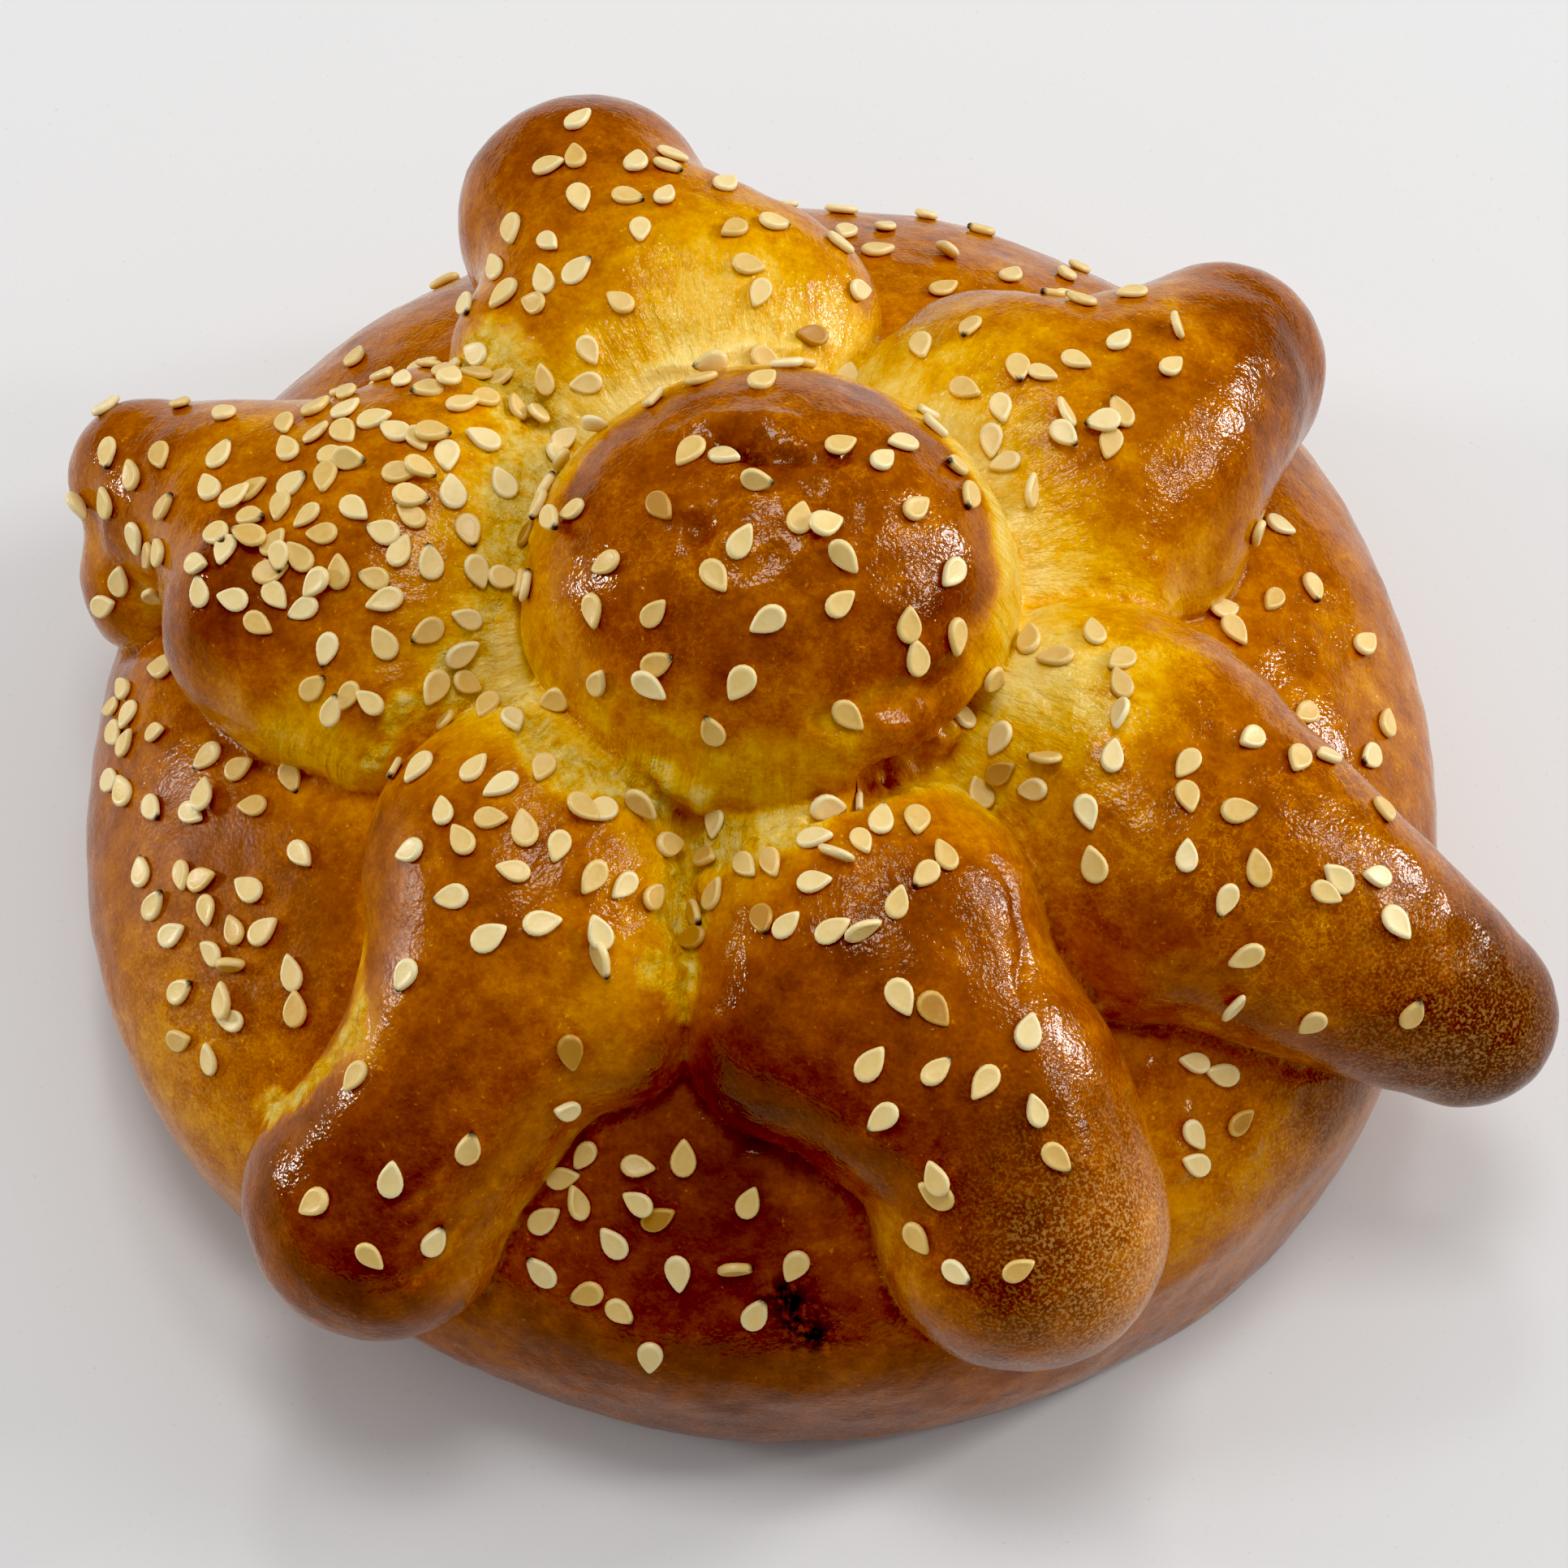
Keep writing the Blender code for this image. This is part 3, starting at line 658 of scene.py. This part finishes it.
class Skin:
    """The surface of the bun as arrays, in mm, with a row for each vertex."""

    def __init__(self, mesh, sources):
        count = len(mesh.vertices)
        self.places = self.read(mesh.vertices, "co", count) / MM
        self.normals = self.read(mesh.vertex_normals, "vector", count)
        edges = np.empty(len(mesh.edges) * 2, np.int32)
        mesh.edges.foreach_get("vertices", edges)
        self.edges = edges.reshape(-1, 2)
        self.degree = np.bincount(edges, minlength=count)
        self.gaps = {name: self.gap_to(tree) for name, tree in sources.items()}
        ordered = np.sort(np.stack(list(self.gaps.values())), axis=0)
        self.nearest_gap, self.gap = ordered[0], ordered[1]
        self.bulge = self.bulge_over(BULGE_REACH)
        self.warped = self.places + np.stack([self.layered(layers) for layers in WANDER], axis=1)

    @staticmethod
    def read(items, name, count):
        """A row of three numbers from each of the mesh's items."""
        values = np.empty(count * 3, np.float32)
        items.foreach_get(name, values)
        return values.reshape(-1, 3).astype(float)

    def gap_to(self, tree):
        """How far each vertex is from one piece of dough."""
        return np.array([tree.find_nearest(Vector(place) * MM)[3] for place in self.places]) / MM

    def on(self, name):
        """1 where the vertex lies on that piece, else 0."""
        return (self.gaps[name] <= self.nearest_gap + SAME_GAP).astype(float)

    def averaged(self, values, reach):
        """The values spread about `reach` mm over the skin."""
        first, second = self.edges.T
        count = len(self.places)
        columns = np.array(values, float).reshape(count, -1).T.copy()
        for _ in range(round((2 * reach / (FUSE_VOXEL / MM)) ** 2)):
            for k, column in enumerate(columns):
                total = np.bincount(first, column[second], count)
                total += np.bincount(second, column[first], count)
                columns[k] = (column + total / self.degree) / 2
        return columns.T.reshape(np.shape(values))

    def bulge_over(self, reach):
        """How far the skin stands out of its own average, in mm: above 0 on knobs, below 0 in creases."""
        return np.einsum("ij,ij->i", self.places - self.averaged(self.places, reach), self.normals)

    def lumps(self, size, draw):
        """Smooth noise from about -1 to 1, with lumps of this size in mm."""
        shift = Vector(DRAW_SHIFT) * draw
        grains = [noise.noise(Vector(place) / size + shift) for place in self.places]
        return LUMP_STRENGTH * np.array(grains)

    def layered(self, layers, start=0):
        """The start plus every layer of noise."""
        return sum((layer.amount * self.lumps(layer.size, layer.draw) for layer in layers), start)

    def folded(self, layers, top):
        """A level top cut into sharp folds by every layer of noise."""
        for layer in layers:
            top = top - layer.amount * np.abs(self.lumps(layer.size, layer.draw))
        return top

    def spots(self, spots, exact=False):
        """What the spots add up to, each one fading away from its centre."""
        places = self.places if exact else self.warped
        total = np.zeros(len(places))
        for spot in map(Spot._make, spots):
            away = np.linalg.norm(places - (spot.x, spot.y, spot.z), axis=1)
            total += spot.amount * fading(away, spot.radius)
        return total

    def line_gap(self, points):
        """How far each vertex is from a line through the points."""
        away = np.full(len(self.places), np.inf)
        squash = np.array((1, 1, LINE_HEIGHT_WEIGHT))
        for start, end in zip(points, points[1:]):
            run = np.subtract(end, start) * squash
            offset = (self.warped - np.array(start)) * squash
            share = np.clip(offset @ run / (run @ run), 0, 1)
            away = np.minimum(away, np.linalg.norm(offset - share[:, None] * run, axis=1))
        return away

    def near_crease(self, crease):
        """1 on the crease's line, fading away over its width."""
        return fading(self.line_gap(crease.points), crease.width)

    def round_ball(self):
        """The heading of each vertex round the ball in degrees, and its distance from the ball's axis."""
        x, y = (self.places[:, :2] - np.array(BALL_CENTRE)[:2] / MM).T
        return np.degrees(np.arctan2(y, x)), np.hypot(x, y)

    def cap_angle(self):
        """The angle at the ball's centre from the middle of its brown cap, in degrees."""
        offset = (self.places - np.array(BALL_CENTRE) / MM) / (np.array(BALL_RADII) / MM)
        offset /= np.linalg.norm(offset, axis=1)[:, None]
        return np.degrees(np.arccos(np.clip(offset @ np.array(CAP_AXIS), -1, 1)))


def by_heading(heading, table):
    """Values read from a table of headings, in degrees, blended between its rows."""
    rows = sorted(table.items())
    return np.interp(heading, [row[0] for row in rows], [row[1] for row in rows], period=360)


def torn_dough(skin):
    """1 in the torn strips and 0 outside them, with ragged borders, and how brown the strips are."""
    ragged = skin.layered(TEAR_WANDER)
    outer, inner = TEAR_FADE
    total, level = np.zeros(len(skin.places)), np.zeros(len(skin.places))
    for tear in TEARS:
        away = skin.line_gap(tear.points) + ragged
        share = smoothstep(outer * tear.width, inner * tear.width, away)
        level = np.where(share > total, tear.level, level)
        total = np.maximum(total, share)
    return total, skin.averaged(level, TEAR_BLEND)


def browning(skin, torn, torn_level):
    """How brown each place is, from 0 for bare dough to 1 for the darkest knob, with painted shade and
    painted sheen in some places.
    """
    ball, loaf_part = skin.on("ball"), skin.on("loaf")
    arm = 1 - np.maximum(ball, loaf_part)
    heading, _ = skin.round_ball()
    fade = by_heading(heading, CAP_FADE)
    cap = 1 - smoothstep(CAP_EDGE - fade, CAP_EDGE, skin.cap_angle() + skin.layered(CAP_WANDER))
    rim = by_heading(heading, BALL_RIM)
    ball_level = rim + (CAP_LEVEL - rim) * cap
    bulge = np.clip((skin.bulge - BULGE_PLAIN) / BULGE_SPAN, -1, 1)
    ring = by_heading(heading, RING_PALENESS) * fading(skin.gaps["ball"], RING_REACH)
    stretched = np.exp(-skin.gap / STRETCH_GAP) * fading(skin.gaps["ball"], STRETCH_REACH)
    arm_level = by_heading(heading, ARM_LEVEL) + ARM_BULGE_BROWNING * bulge - ring
    arm_level -= STRETCH_PALENESS * stretched
    meeting = skin.layered(MEETING_PATCHES, MEETING_PALENESS)
    arm_level -= meeting * np.exp(-skin.gaps["loaf"] / MEETING_GAP)
    loaf_level = by_heading(heading, LOAF_LEVEL) + LOAF_BULGE_BROWNING * np.clip(skin.bulge, -1, 1)
    level = ball * ball_level + arm * arm_level + loaf_part * loaf_level
    level = skin.averaged(level, LEVEL_BLEND)
    # Painted shade darkens the crown's dimples
    dimple_shade = DIMPLE_SHADE * ball * skin.spots(CROWN_DIMPLES)
    # Some dark spots are painted shade and some pale spots partly painted sheen
    level += skin.spots(DARK_SPOTS) - skin.spots(PALE_SPOTS) + dimple_shade
    # Creases with a paleness above 0 are paler; those below 0 get painted shade
    for crease in CREASES:
        level -= crease.paleness * skin.near_crease(crease)
    level += skin.layered(LEVEL_PATCHES)
    rags = skin.layered(TORN_PATCHES, torn_level)
    return level + (np.minimum(rags, level) - level) * torn


def relief(skin, level, torn):
    """How far baking has pushed each place out of the smooth shape, in mm."""
    rise = skin.layered(SWELL)
    rise -= (SEAM_DEPTH - SEAM_FILL * torn) * np.exp(-skin.gap / SEAM_WIDTH)
    bare = smoothstep(*BARE_LEVELS, level)
    crumpled = bare * CRUMPLE.amount + torn * CRUMPLE.amount
    rise += crumpled * skin.lumps(CRUMPLE.size, CRUMPLE.draw)
    rise += torn * SHREDS.amount * np.maximum(skin.lumps(SHREDS.size, SHREDS.draw), 0)
    rise += torn * skin.folded(TORN_FOLDS, TORN_RISE)
    _, out = skin.round_ball()
    on_ball = skin.on("ball")
    creased = np.abs(skin.lumps(CROWN_FOLDS.size, CROWN_FOLDS.draw))
    folds = CROWN_FOLDS.amount * (CROWN_FOLD_TOP - creased)
    rise += on_ball * fading(out, CROWN_REACH) * (skin.layered(CROWN_SWELL) + folds)
    rise -= on_ball * skin.spots(CROWN_DIMPLES)
    rise += skin.spots(BLISTERS, exact=True)
    for crease in CREASES:
        rise -= crease.depth * skin.near_crease(crease)
    return rise


def crust():
    """The whole bun of dough, browned, with its underside flat on the table."""
    pieces, sources = dough_pieces()
    bun = fuse("bun_crust", pieces.values(), FUSE_VOXEL, FUSE_SMOOTHING)
    mesh = bun.data
    skin = Skin(mesh, sources)
    torn, torn_level = torn_dough(skin)
    level = browning(skin, torn, torn_level)
    places = skin.places + skin.normals * relief(skin, level, torn)[:, None]
    places[:, 2] = np.maximum(places[:, 2], 0)
    mesh.vertices.foreach_set("co", (places * MM).astype(np.float32).ravel())
    heading, out = skin.round_ball()
    turn = np.radians(heading)
    x, y = STREAKS_ROUND * np.cos(turn), STREAKS_ROUND * np.sin(turn)
    strain = np.stack([x, y, STREAK_STEP * out], axis=1)
    bare = smoothstep(*STREAK_LEVELS, level)
    pulled = PULLED_SHARE * (1 - skin.on("loaf"))
    pulled = pulled * smoothstep(*PULLED_OUTER, out) * smoothstep(*PULLED_INNER, out)
    # The browning also holds painted shade in the dimples, some creases and a few dark spots, and painted
    # sheen in a few pale spots
    put(mesh, "brown", level)
    put(mesh, "torn", torn)
    # Seams between the pieces of dough: the crust finish darkens and roughens them, partly as crust browned
    # in the seam and partly as painted shade in the crease
    put(mesh, "seam", (1 - torn) * fading(skin.gap, SEAM_WIDTH))
    put(mesh, "stretch", np.clip(bare + pulled + skin.spots(STREAK_SPOTS), 0, 1))
    put(mesh, "web", np.clip(WEB_SHARE + skin.spots(WEB_SPOTS), 0, 1) * (1 - torn))
    # Haze, partly painted sheen, and dullness and burns
    for name, spots in (("haze_and_sheen", HAZE_AND_SHEEN_SPOTS), ("dull", DULL_SPOTS), ("burn", BURN_SPOTS)):
        put(mesh, name, np.clip(skin.spots(spots), 0, 1))
    put(mesh, "strain", strain)
    mesh.shade_smooth()
    mesh.update()
    return bun


def put(mesh, name, values):
    """Stores numbers, or rows of three, on the mesh's vertices."""
    kind, key = ("FLOAT", "value") if values.ndim == 1 else ("FLOAT_VECTOR", "vector")
    mesh.attributes.new(name, kind, "POINT").data.foreach_set(key, values.astype(np.float32).ravel())


class Finish:
    """A material made of nodes. An input is a number, a colour or another node's output."""

    def __init__(self, name):
        self.material = bpy.data.materials.new(name)
        self.material.use_nodes = True
        self.tree = self.material.node_tree
        self.shader = self.tree.nodes["Principled BSDF"]
        self.place = self.node("TexCoord").outputs["Object"]

    def feed(self, node, inputs):
        """Links the outputs and sets the numbers and colours that go into a node."""
        for key, value in inputs.items():
            if isinstance(value, bpy.types.NodeSocket):
                self.tree.links.new(value, node.inputs[key])
            else:
                node.inputs[key].default_value = value

    def node(self, kind, inputs=None, **settings):
        """A new node of the kind, with its inputs and settings."""
        made = self.tree.nodes.new("ShaderNode" + kind)
        for key, value in settings.items():
            setattr(made, key, value)
        self.feed(made, inputs or {})
        return made

    def math(self, operation, first, second=0.0):
        return self.node("Math", {0: first, 1: second}, operation=operation).outputs[0]

    def attribute(self, name, output="Fac"):
        return self.node("Attribute", attribute_name=name).outputs[output]

    def noise(self, size, detail=3.0, rough=0.5, place=None):
        """Noise from 0 to 1 with grains of this size."""
        inputs = {"Vector": place or self.place, "Scale": 1 / size, "Detail": detail, "Roughness": rough}
        return self.node("TexNoise", inputs).outputs["Fac"]

    def centred(self, *settings):
        """The same noise from -0.5 to 0.5."""
        return self.math("SUBTRACT", self.noise(*settings), 0.5)

    def shaken(self, size, amount):
        """The object's places, each pushed about at random by up to the amount."""
        inputs = {"Vector": self.place, "Scale": 1 / size, "Detail": 1.0}
        push = self.node("TexNoise", inputs).outputs["Color"]
        shift = self.node("VectorMath", {0: push, 1: (amount,) * 3}, operation="MULTIPLY").outputs[0]
        return self.node("VectorMath", {0: self.place, 1: shift}, operation="ADD").outputs[0]

    def threads(self, size, width):
        """Thin meandering lines: 1 on them and 0 elsewhere."""
        away = self.math("ABSOLUTE", self.centred(size, 4.0, 0.6))
        return self.span(away, 0.0, width, 1.0, 0.0)

    def plus(self, value, *terms):
        """The value plus each term, a pair of an output and what it is multiplied by."""
        for term, share in terms:
            value = self.math("ADD", value, self.math("MULTIPLY", term, share))
        return value

    def span(self, value, low, high, out_low=0.0, out_high=1.0):
        """Carries the range from low to high over to the other range, and clamps it."""
        inputs = {0: value, 1: low, 2: high, 3: out_low, 4: out_high}
        return self.node("MapRange", inputs).outputs[0]

    def ramp(self, value, stops):
        """The colour that the value stands for, from pairs of a position and a colour."""
        made = self.node("ValToRGB", {0: value})
        elements = made.color_ramp.elements
        while len(elements) < len(stops):
            elements.new(0.5)
        for element, (position, colour) in zip(elements, stops):
            element.position = position
            element.color = (*colour, 1)
        return made.outputs[0]

    def mix(self, share, first, second):
        """The first colour, changed by the share into the second."""
        made = self.node("Mix", data_type="RGBA")
        colours = [c if isinstance(c, bpy.types.NodeSocket) else (*c, 1) for c in (first, second)]
        self.feed(made, {0: share, 6: colours[0], 7: colours[1]})
        return made.outputs[2]

    def bump(self, height, depth, normal=None):
        """The normal of a surface raised by the height, times the depth."""
        inputs = {"Height": height, "Distance": depth, "Strength": 1.0}
        if normal is not None:
            inputs["Normal"] = normal
        return self.node("Bump", inputs).outputs[0]


def crust_finish():
    """Egg-washed crust: browned by height and heat, crinkled and glossy, but woolly where it has torn, with
    painted shade along the seams and a speckled haze that is partly painted sheen.
    """
    finish = Finish("crust")
    level, torn, stretch = (finish.attribute(name) for name in ("brown", "torn", "stretch"))
    haze_and_sheen, burn, web, seam = (finish.attribute(name) for name in ("haze_and_sheen", "burn", "web", "seam"))
    dull, strain = finish.attribute("dull"), finish.attribute("strain", "Vector")
    mottle = finish.centred(3.0 * MM, 6.0, 0.65)
    grain = finish.centred(1.1 * MM, 3.0, 0.6)
    speck = finish.centred(0.45 * MM, 3.0, 0.6)
    streak = finish.centred(1.3, 4.0, 0.6, strain)
    combed = finish.math("MULTIPLY", streak, stretch)
    flakes = finish.centred(0.9 * MM, 5.0, 0.7, finish.shaken(2 * MM, 1.2 * MM))
    wool = finish.math("MULTIPLY", flakes, torn)
    patchy = finish.span(finish.noise(5 * MM, 2.0), 0.38, 0.56)
    line = finish.math("MAXIMUM", finish.threads(2.6 * MM, 0.022), finish.threads(1.4 * MM, 0.026))
    line = finish.math("MULTIPLY", finish.math("MULTIPLY", line, patchy), web)
    fleck = finish.span(finish.noise(0.6 * MM, 2.0, 0.6), 0.68, 0.74)
    tone = finish.plus(level, (mottle, 0.38), (grain, 0.22), (speck, 0.20), (combed, 0.42))
    # Seams are darker: partly crust browned in the seam, partly painted shade in the crease
    tone = finish.plus(tone, (line, -0.20), (fleck, -0.20), (seam, 0.26), (wool, -0.80))
    colour = finish.ramp(tone, CRUST_TONES)
    # Pale speckled haze, partly painted sheen on the loaf's low left side
    veil = finish.math("MULTIPLY", haze_and_sheen, finish.span(finish.noise(0.30 * MM, 3.0, 0.6), 0.48, 0.60))
    colour = finish.mix(veil, colour, HAZE_AND_SHEEN_COLOUR)
    scorch = finish.math("MULTIPLY", burn, finish.span(finish.noise(1.2 * MM, 4.0, 0.65), 0.38, 0.52))
    colour = finish.mix(scorch, colour, BURN_COLOUR)
    rough = finish.span(speck, -0.2, 0.2, 0.09, 0.17)
    rough = finish.plus(rough, (haze_and_sheen, 0.15), (seam, 0.2), (dull, 0.50))
    normal = finish.bump(finish.noise(1.2 * MM, 2.0, 0.5), 0.06 * MM)
    normal = finish.bump(finish.noise(0.40 * MM, 1.0, 0.5), 0.055 * MM, normal)
    normal = finish.bump(combed, 0.60 * MM, normal)
    normal = finish.bump(wool, 0.55 * MM, normal)
    finish.feed(finish.shader, {"Base Color": colour, "Roughness": rough, "Normal": normal})
    finish.feed(finish.shader, {"Specular IOR Level": 0.30, "Specular Tint": (*SHEEN_TINT, 1)})
    return finish.material


def direction(heading, rise):
    """The unit vector at these angles, in degrees, from +X and above the horizontal."""
    turn, lift = math.radians(heading), math.radians(rise)
    return Vector((math.cos(turn) * math.cos(lift), math.sin(turn) * math.cos(lift), math.sin(lift)))


def spot_on_crust(tree, patch, rng):
    """A random place in a patch of the crust, with the crust's normal there."""
    centre = direction(patch.heading, patch.rise)
    side = Vector((0, 0, 1)).cross(centre).normalized()
    up = centre.cross(side)
    turn, share = rng.uniform(0, 2 * math.pi), math.sqrt(rng.random())
    across = math.radians(patch.across) * share * math.cos(turn)
    along = math.radians(patch.along) * share * math.sin(turn)
    ray = (centre + side * across + up * along).normalized()
    place, _, _, _ = tree.ray_cast(SEED_ORIGIN + ray * SEED_CAST, -ray)
    if place is None:
        return None
    return settled(tree, place)


def settled(tree, place):
    """A seed's place and the crust's normal under it, taken from what its whole length rests on."""
    _, normal, _, _ = tree.find_nearest(place)
    flank = normal.orthogonal().normalized()
    feet, total = [], Vector()
    for k in range(SEED_FEET):
        spin = Matrix.Rotation(2 * math.pi * k / SEED_FEET, 3, normal)
        test = place + spin @ flank * SEED_LENGTH * SEED_FOOT_REACH
        foot, lean, _, _ = tree.find_nearest(test)
        feet.append((foot - place).dot(normal))
        total += lean
    if max(feet) - min(feet) > SEED_UNEVENNESS:
        return None
    return place + normal * max(0, sum(feet) / len(feet)), total.normalized()


def seed_points():
    """The points of one seed in units of half its size, ring by ring, with its pointed end at +X."""
    points = [(0, 0, SEED_FACE_HEIGHT)]
    for share, height in SEED_RINGS:
        for k in range(SEED_SIDES):
            turn = 2 * math.pi * k / SEED_SIDES
            along = math.cos(turn)
            across = math.sin(turn) * (1 - SEED_TAPER * ((1 + along) / 2) ** 2)
            reach = along + SEED_POINT * max(along, 0) ** SEED_POINT_POWER
            points.append((share * reach, share * across, height))
    points.append((0, 0, SEED_RINGS[-1][1]))
    return np.array(points)


def seed_faces():
    """The faces of one seed, as numbers of its points."""
    faces = []
    last = len(SEED_RINGS) * SEED_SIDES + 1
    for k in range(SEED_SIDES):
        after = (k + 1) % SEED_SIDES
        faces.append((0, 1 + k, 1 + after))
        for ring in range(len(SEED_RINGS) - 1):
            upper, lower = 1 + ring * SEED_SIDES, 1 + (ring + 1) * SEED_SIDES
            faces.append((upper + k, lower + k, lower + after, upper + after))
        faces.append((last, last - SEED_SIDES + after, last - SEED_SIDES + k))
    return faces


def scattered(tree):
    """A place, upright direction and stacking height for every seed, patch by patch."""
    rng = random.Random(SEED_DRAW)
    taken = []
    for patch in map(Patch._make, SEED_PATCHES):
        for _ in range(patch.seeds):
            tries = [spot_on_crust(tree, patch, rng) for _ in range(rng.choice(SEED_TRIES))]
            found = [(clearance(spot[0], taken), spot) for spot in tries if spot]
            if not found:
                continue
            room, spot = max(found, key=lambda pair: pair[0])
            if room < SEED_SPACING * SEED_CLOSEST:
                continue
            raised = SEED_THICKNESS * SEED_STACK_RISE if room < SEED_SPACING * SEED_STACKED else 0
            taken.append((*spot, raised))
    return taken


def clearance(place, taken):
    """How far the place is from the nearest seed that is there already, or 1 m for the first."""
    return min(((place - other[0]).length for other in taken), default=1)


def seeds(bun):
    """All the sesame seeds as one mesh, each a little different from the next."""
    graph = bpy.context.evaluated_depsgraph_get()
    tree = BVHTree.FromObject(bun, graph)
    rng = random.Random(SEED_DRAW + 1)
    shape, shape_faces = seed_points(), seed_faces()
    rings = [ring for ring in range(len(SEED_RINGS)) for _ in range(SEED_SIDES)]
    on_face = (np.array([0, *rings, len(SEED_RINGS)]) < SEED_FACE_RINGS).astype(float)
    places, faces, tones, tips = [], [], [], []
    for place, normal, raised in scattered(tree):
        size = rng.uniform(*SEED_SIZES)
        scale = Vector((SEED_LENGTH * size, SEED_WIDTH * size * rng.uniform(*SEED_WIDTHS), 0)) / 2
        scale.z = SEED_THICKNESS * rng.uniform(*SEED_THICKNESSES) / 2
        lean = rng.gauss(0, SEED_LEAN)
        lean += rng.uniform(*SEED_EDGE_LEANS) if rng.random() < SEED_ON_EDGE else 0
        sunk = SEED_SUNK if lean < SEED_EDGE_FROM else -SEED_EDGE_RISE
        turn = Matrix.Rotation(rng.uniform(0, 2 * math.pi), 4, "Z")
        turn = turn @ Matrix.Rotation(math.radians(lean), 4, "X")
        tip_lean = rng.gauss(0, SEED_TIP_LEAN) + (SEED_STACKED_LEAN if raised else 0)
        tipped = Matrix.Rotation(math.radians(tip_lean), 4, "Y")
        upright = normal.to_track_quat("Z", "Y").to_matrix().to_4x4()
        seat = place + normal * (SEED_THICKNESS / 2 - sunk + raised)
        matrix = np.array(Matrix.Translation(seat) @ upright @ turn @ tipped)
        local = shape * np.array(scale)
        first = len(places) * len(shape)
        places.append(local @ matrix[:3, :3].T + matrix[:3, 3])
        faces += [tuple(first + k for k in face) for face in shape_faces]
        toasted = rng.random() < SEED_TOASTED
        tone = rng.uniform(*(SEED_TOASTED_TONES if toasted else SEED_PLAIN_TONES))
        tones.append(tone - SEED_FACE_SHADE * on_face)
        tips.append(smoothstep(*SEED_TIP_SPAN, shape[:, 0]) * (rng.random() < SEED_DARK_TIPS))
    mesh = bpy.data.meshes.new("sesame_seeds")
    mesh.from_pydata(np.concatenate(places).tolist(), [], faces)
    put(mesh, "tone", np.concatenate(tones))
    put(mesh, "tip", np.concatenate(tips))
    mesh.shade_smooth()
    return placed("sesame_seeds", mesh)


def seed_finish():
    """Hulled sesame: waxy cream to straw, some toasted, with a dark point where it grew."""
    finish = Finish("sesame")
    tone = finish.attribute("tone")
    mottle = finish.centred(0.8 * MM, 3.0)
    colour = finish.ramp(finish.plus(tone, (mottle, 0.30)), SEED_TONES)
    colour = finish.mix(finish.attribute("tip"), colour, SEED_TIP_COLOUR)
    normal = finish.bump(finish.noise(0.35 * MM, 2.0), 0.02 * MM)
    rough = finish.span(mottle, -0.25, 0.25, 0.28, 0.42)
    finish.feed(finish.shader, {"Base Color": colour, "Roughness": rough, "Normal": normal})
    return finish.material


def floor():
    """A wide sheet of pale card under the bun."""
    bm = bmesh.new()
    bmesh.ops.create_grid(bm, x_segments=1, y_segments=1, size=FLOOR_HALF_WIDTH)
    sheet = add_object("floor", bm)
    sheet.location.z = -FLOOR_GAP
    finish = Finish("floor")
    speck = finish.span(finish.noise(0.5 * MM, 4.0, 0.7), 0.28, 0.36)
    cloud = finish.mix(finish.noise(0.18, 2.0), FLOOR_COLOURS[0], FLOOR_COLOURS[1])
    colour = finish.mix(speck, FLOOR_SPECK_COLOUR, cloud)
    finish.feed(finish.shader, {"Base Color": colour, "Roughness": 0.85, "Specular IOR Level": 0.1})
    sheet.data.materials.append(finish.material)
    return sheet


def aim(obj, target, heading, rise, away):
    """Puts a lamp or camera at that heading, rise and distance from its target, facing it."""
    toward = direction(heading, rise)
    obj.location = target + toward * away
    obj.rotation_mode = "QUATERNION"
    obj.rotation_quaternion = toward.to_track_quat("Z", "Y")


def soft_box(name, heading, rise, away, width, height, power):
    """A rectangular studio lamp, facing the bun."""
    lamp = bpy.data.lights.new(name, "AREA")
    lamp.shape = "RECTANGLE"
    lamp.size = width
    lamp.size_y = height
    lamp.energy = power
    aim(placed(name, lamp), LIGHT_TARGET, heading, rise, away)


def studio():
    """Soft boxes low at the left, at three heights on the right, behind and overhead, in a dim room."""
    for lamp in LAMPS:
        soft_box(*lamp)
    world = bpy.data.worlds.new("room")
    world.use_nodes = True
    background = world.node_tree.nodes["Background"]
    background.inputs["Color"].default_value = (*ROOM_COLOUR, 1)
    place = world.node_tree.nodes.new("ShaderNodeTexCoord")
    toward = world.node_tree.nodes.new("ShaderNodeVectorMath")
    toward.operation = "DOT_PRODUCT"
    toward.inputs[1].default_value = direction(ROOM_BRIGHT_HEADING, ROOM_BRIGHT_RISE)
    glow = world.node_tree.nodes.new("ShaderNodeMapRange")
    for key, value in zip((1, 2, 3, 4), (0.0, 1.0, *ROOM_STRENGTHS)):
        glow.inputs[key].default_value = value
    world.node_tree.links.new(place.outputs["Generated"], toward.inputs[0])
    world.node_tree.links.new(toward.outputs["Value"], glow.inputs[0])
    world.node_tree.links.new(glow.outputs[0], background.inputs["Strength"])
    bpy.context.scene.world = world
    view = bpy.context.scene.view_settings
    view.view_transform = "Standard"
    view.use_curve_mapping = True
    view.curve_mapping.black_level = (BLACK_LEVEL,) * 3
    view.curve_mapping.update()


def camera():
    """The photograph's view, from in front and well above."""
    data = bpy.data.cameras.new("camera")
    data.sensor_width = SENSOR_WIDTH
    data.lens = SENSOR_WIDTH * FOCAL_PIXELS / PHOTO_PIXELS
    data.clip_start = CAMERA_CLIP
    eye = placed("camera", data)
    aim(eye, CAMERA_TARGET, CAMERA_HEADING, CAMERA_RISE, CAMERA_DISTANCE)
    bpy.context.scene.camera = eye


camera()
studio()
floor()
bun = crust()
bun.data.materials.append(crust_finish())
sesame = seeds(bun)
sesame.data.materials.append(seed_finish())
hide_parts("bun")
for piece in (bun, sesame):
    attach(piece, "root")
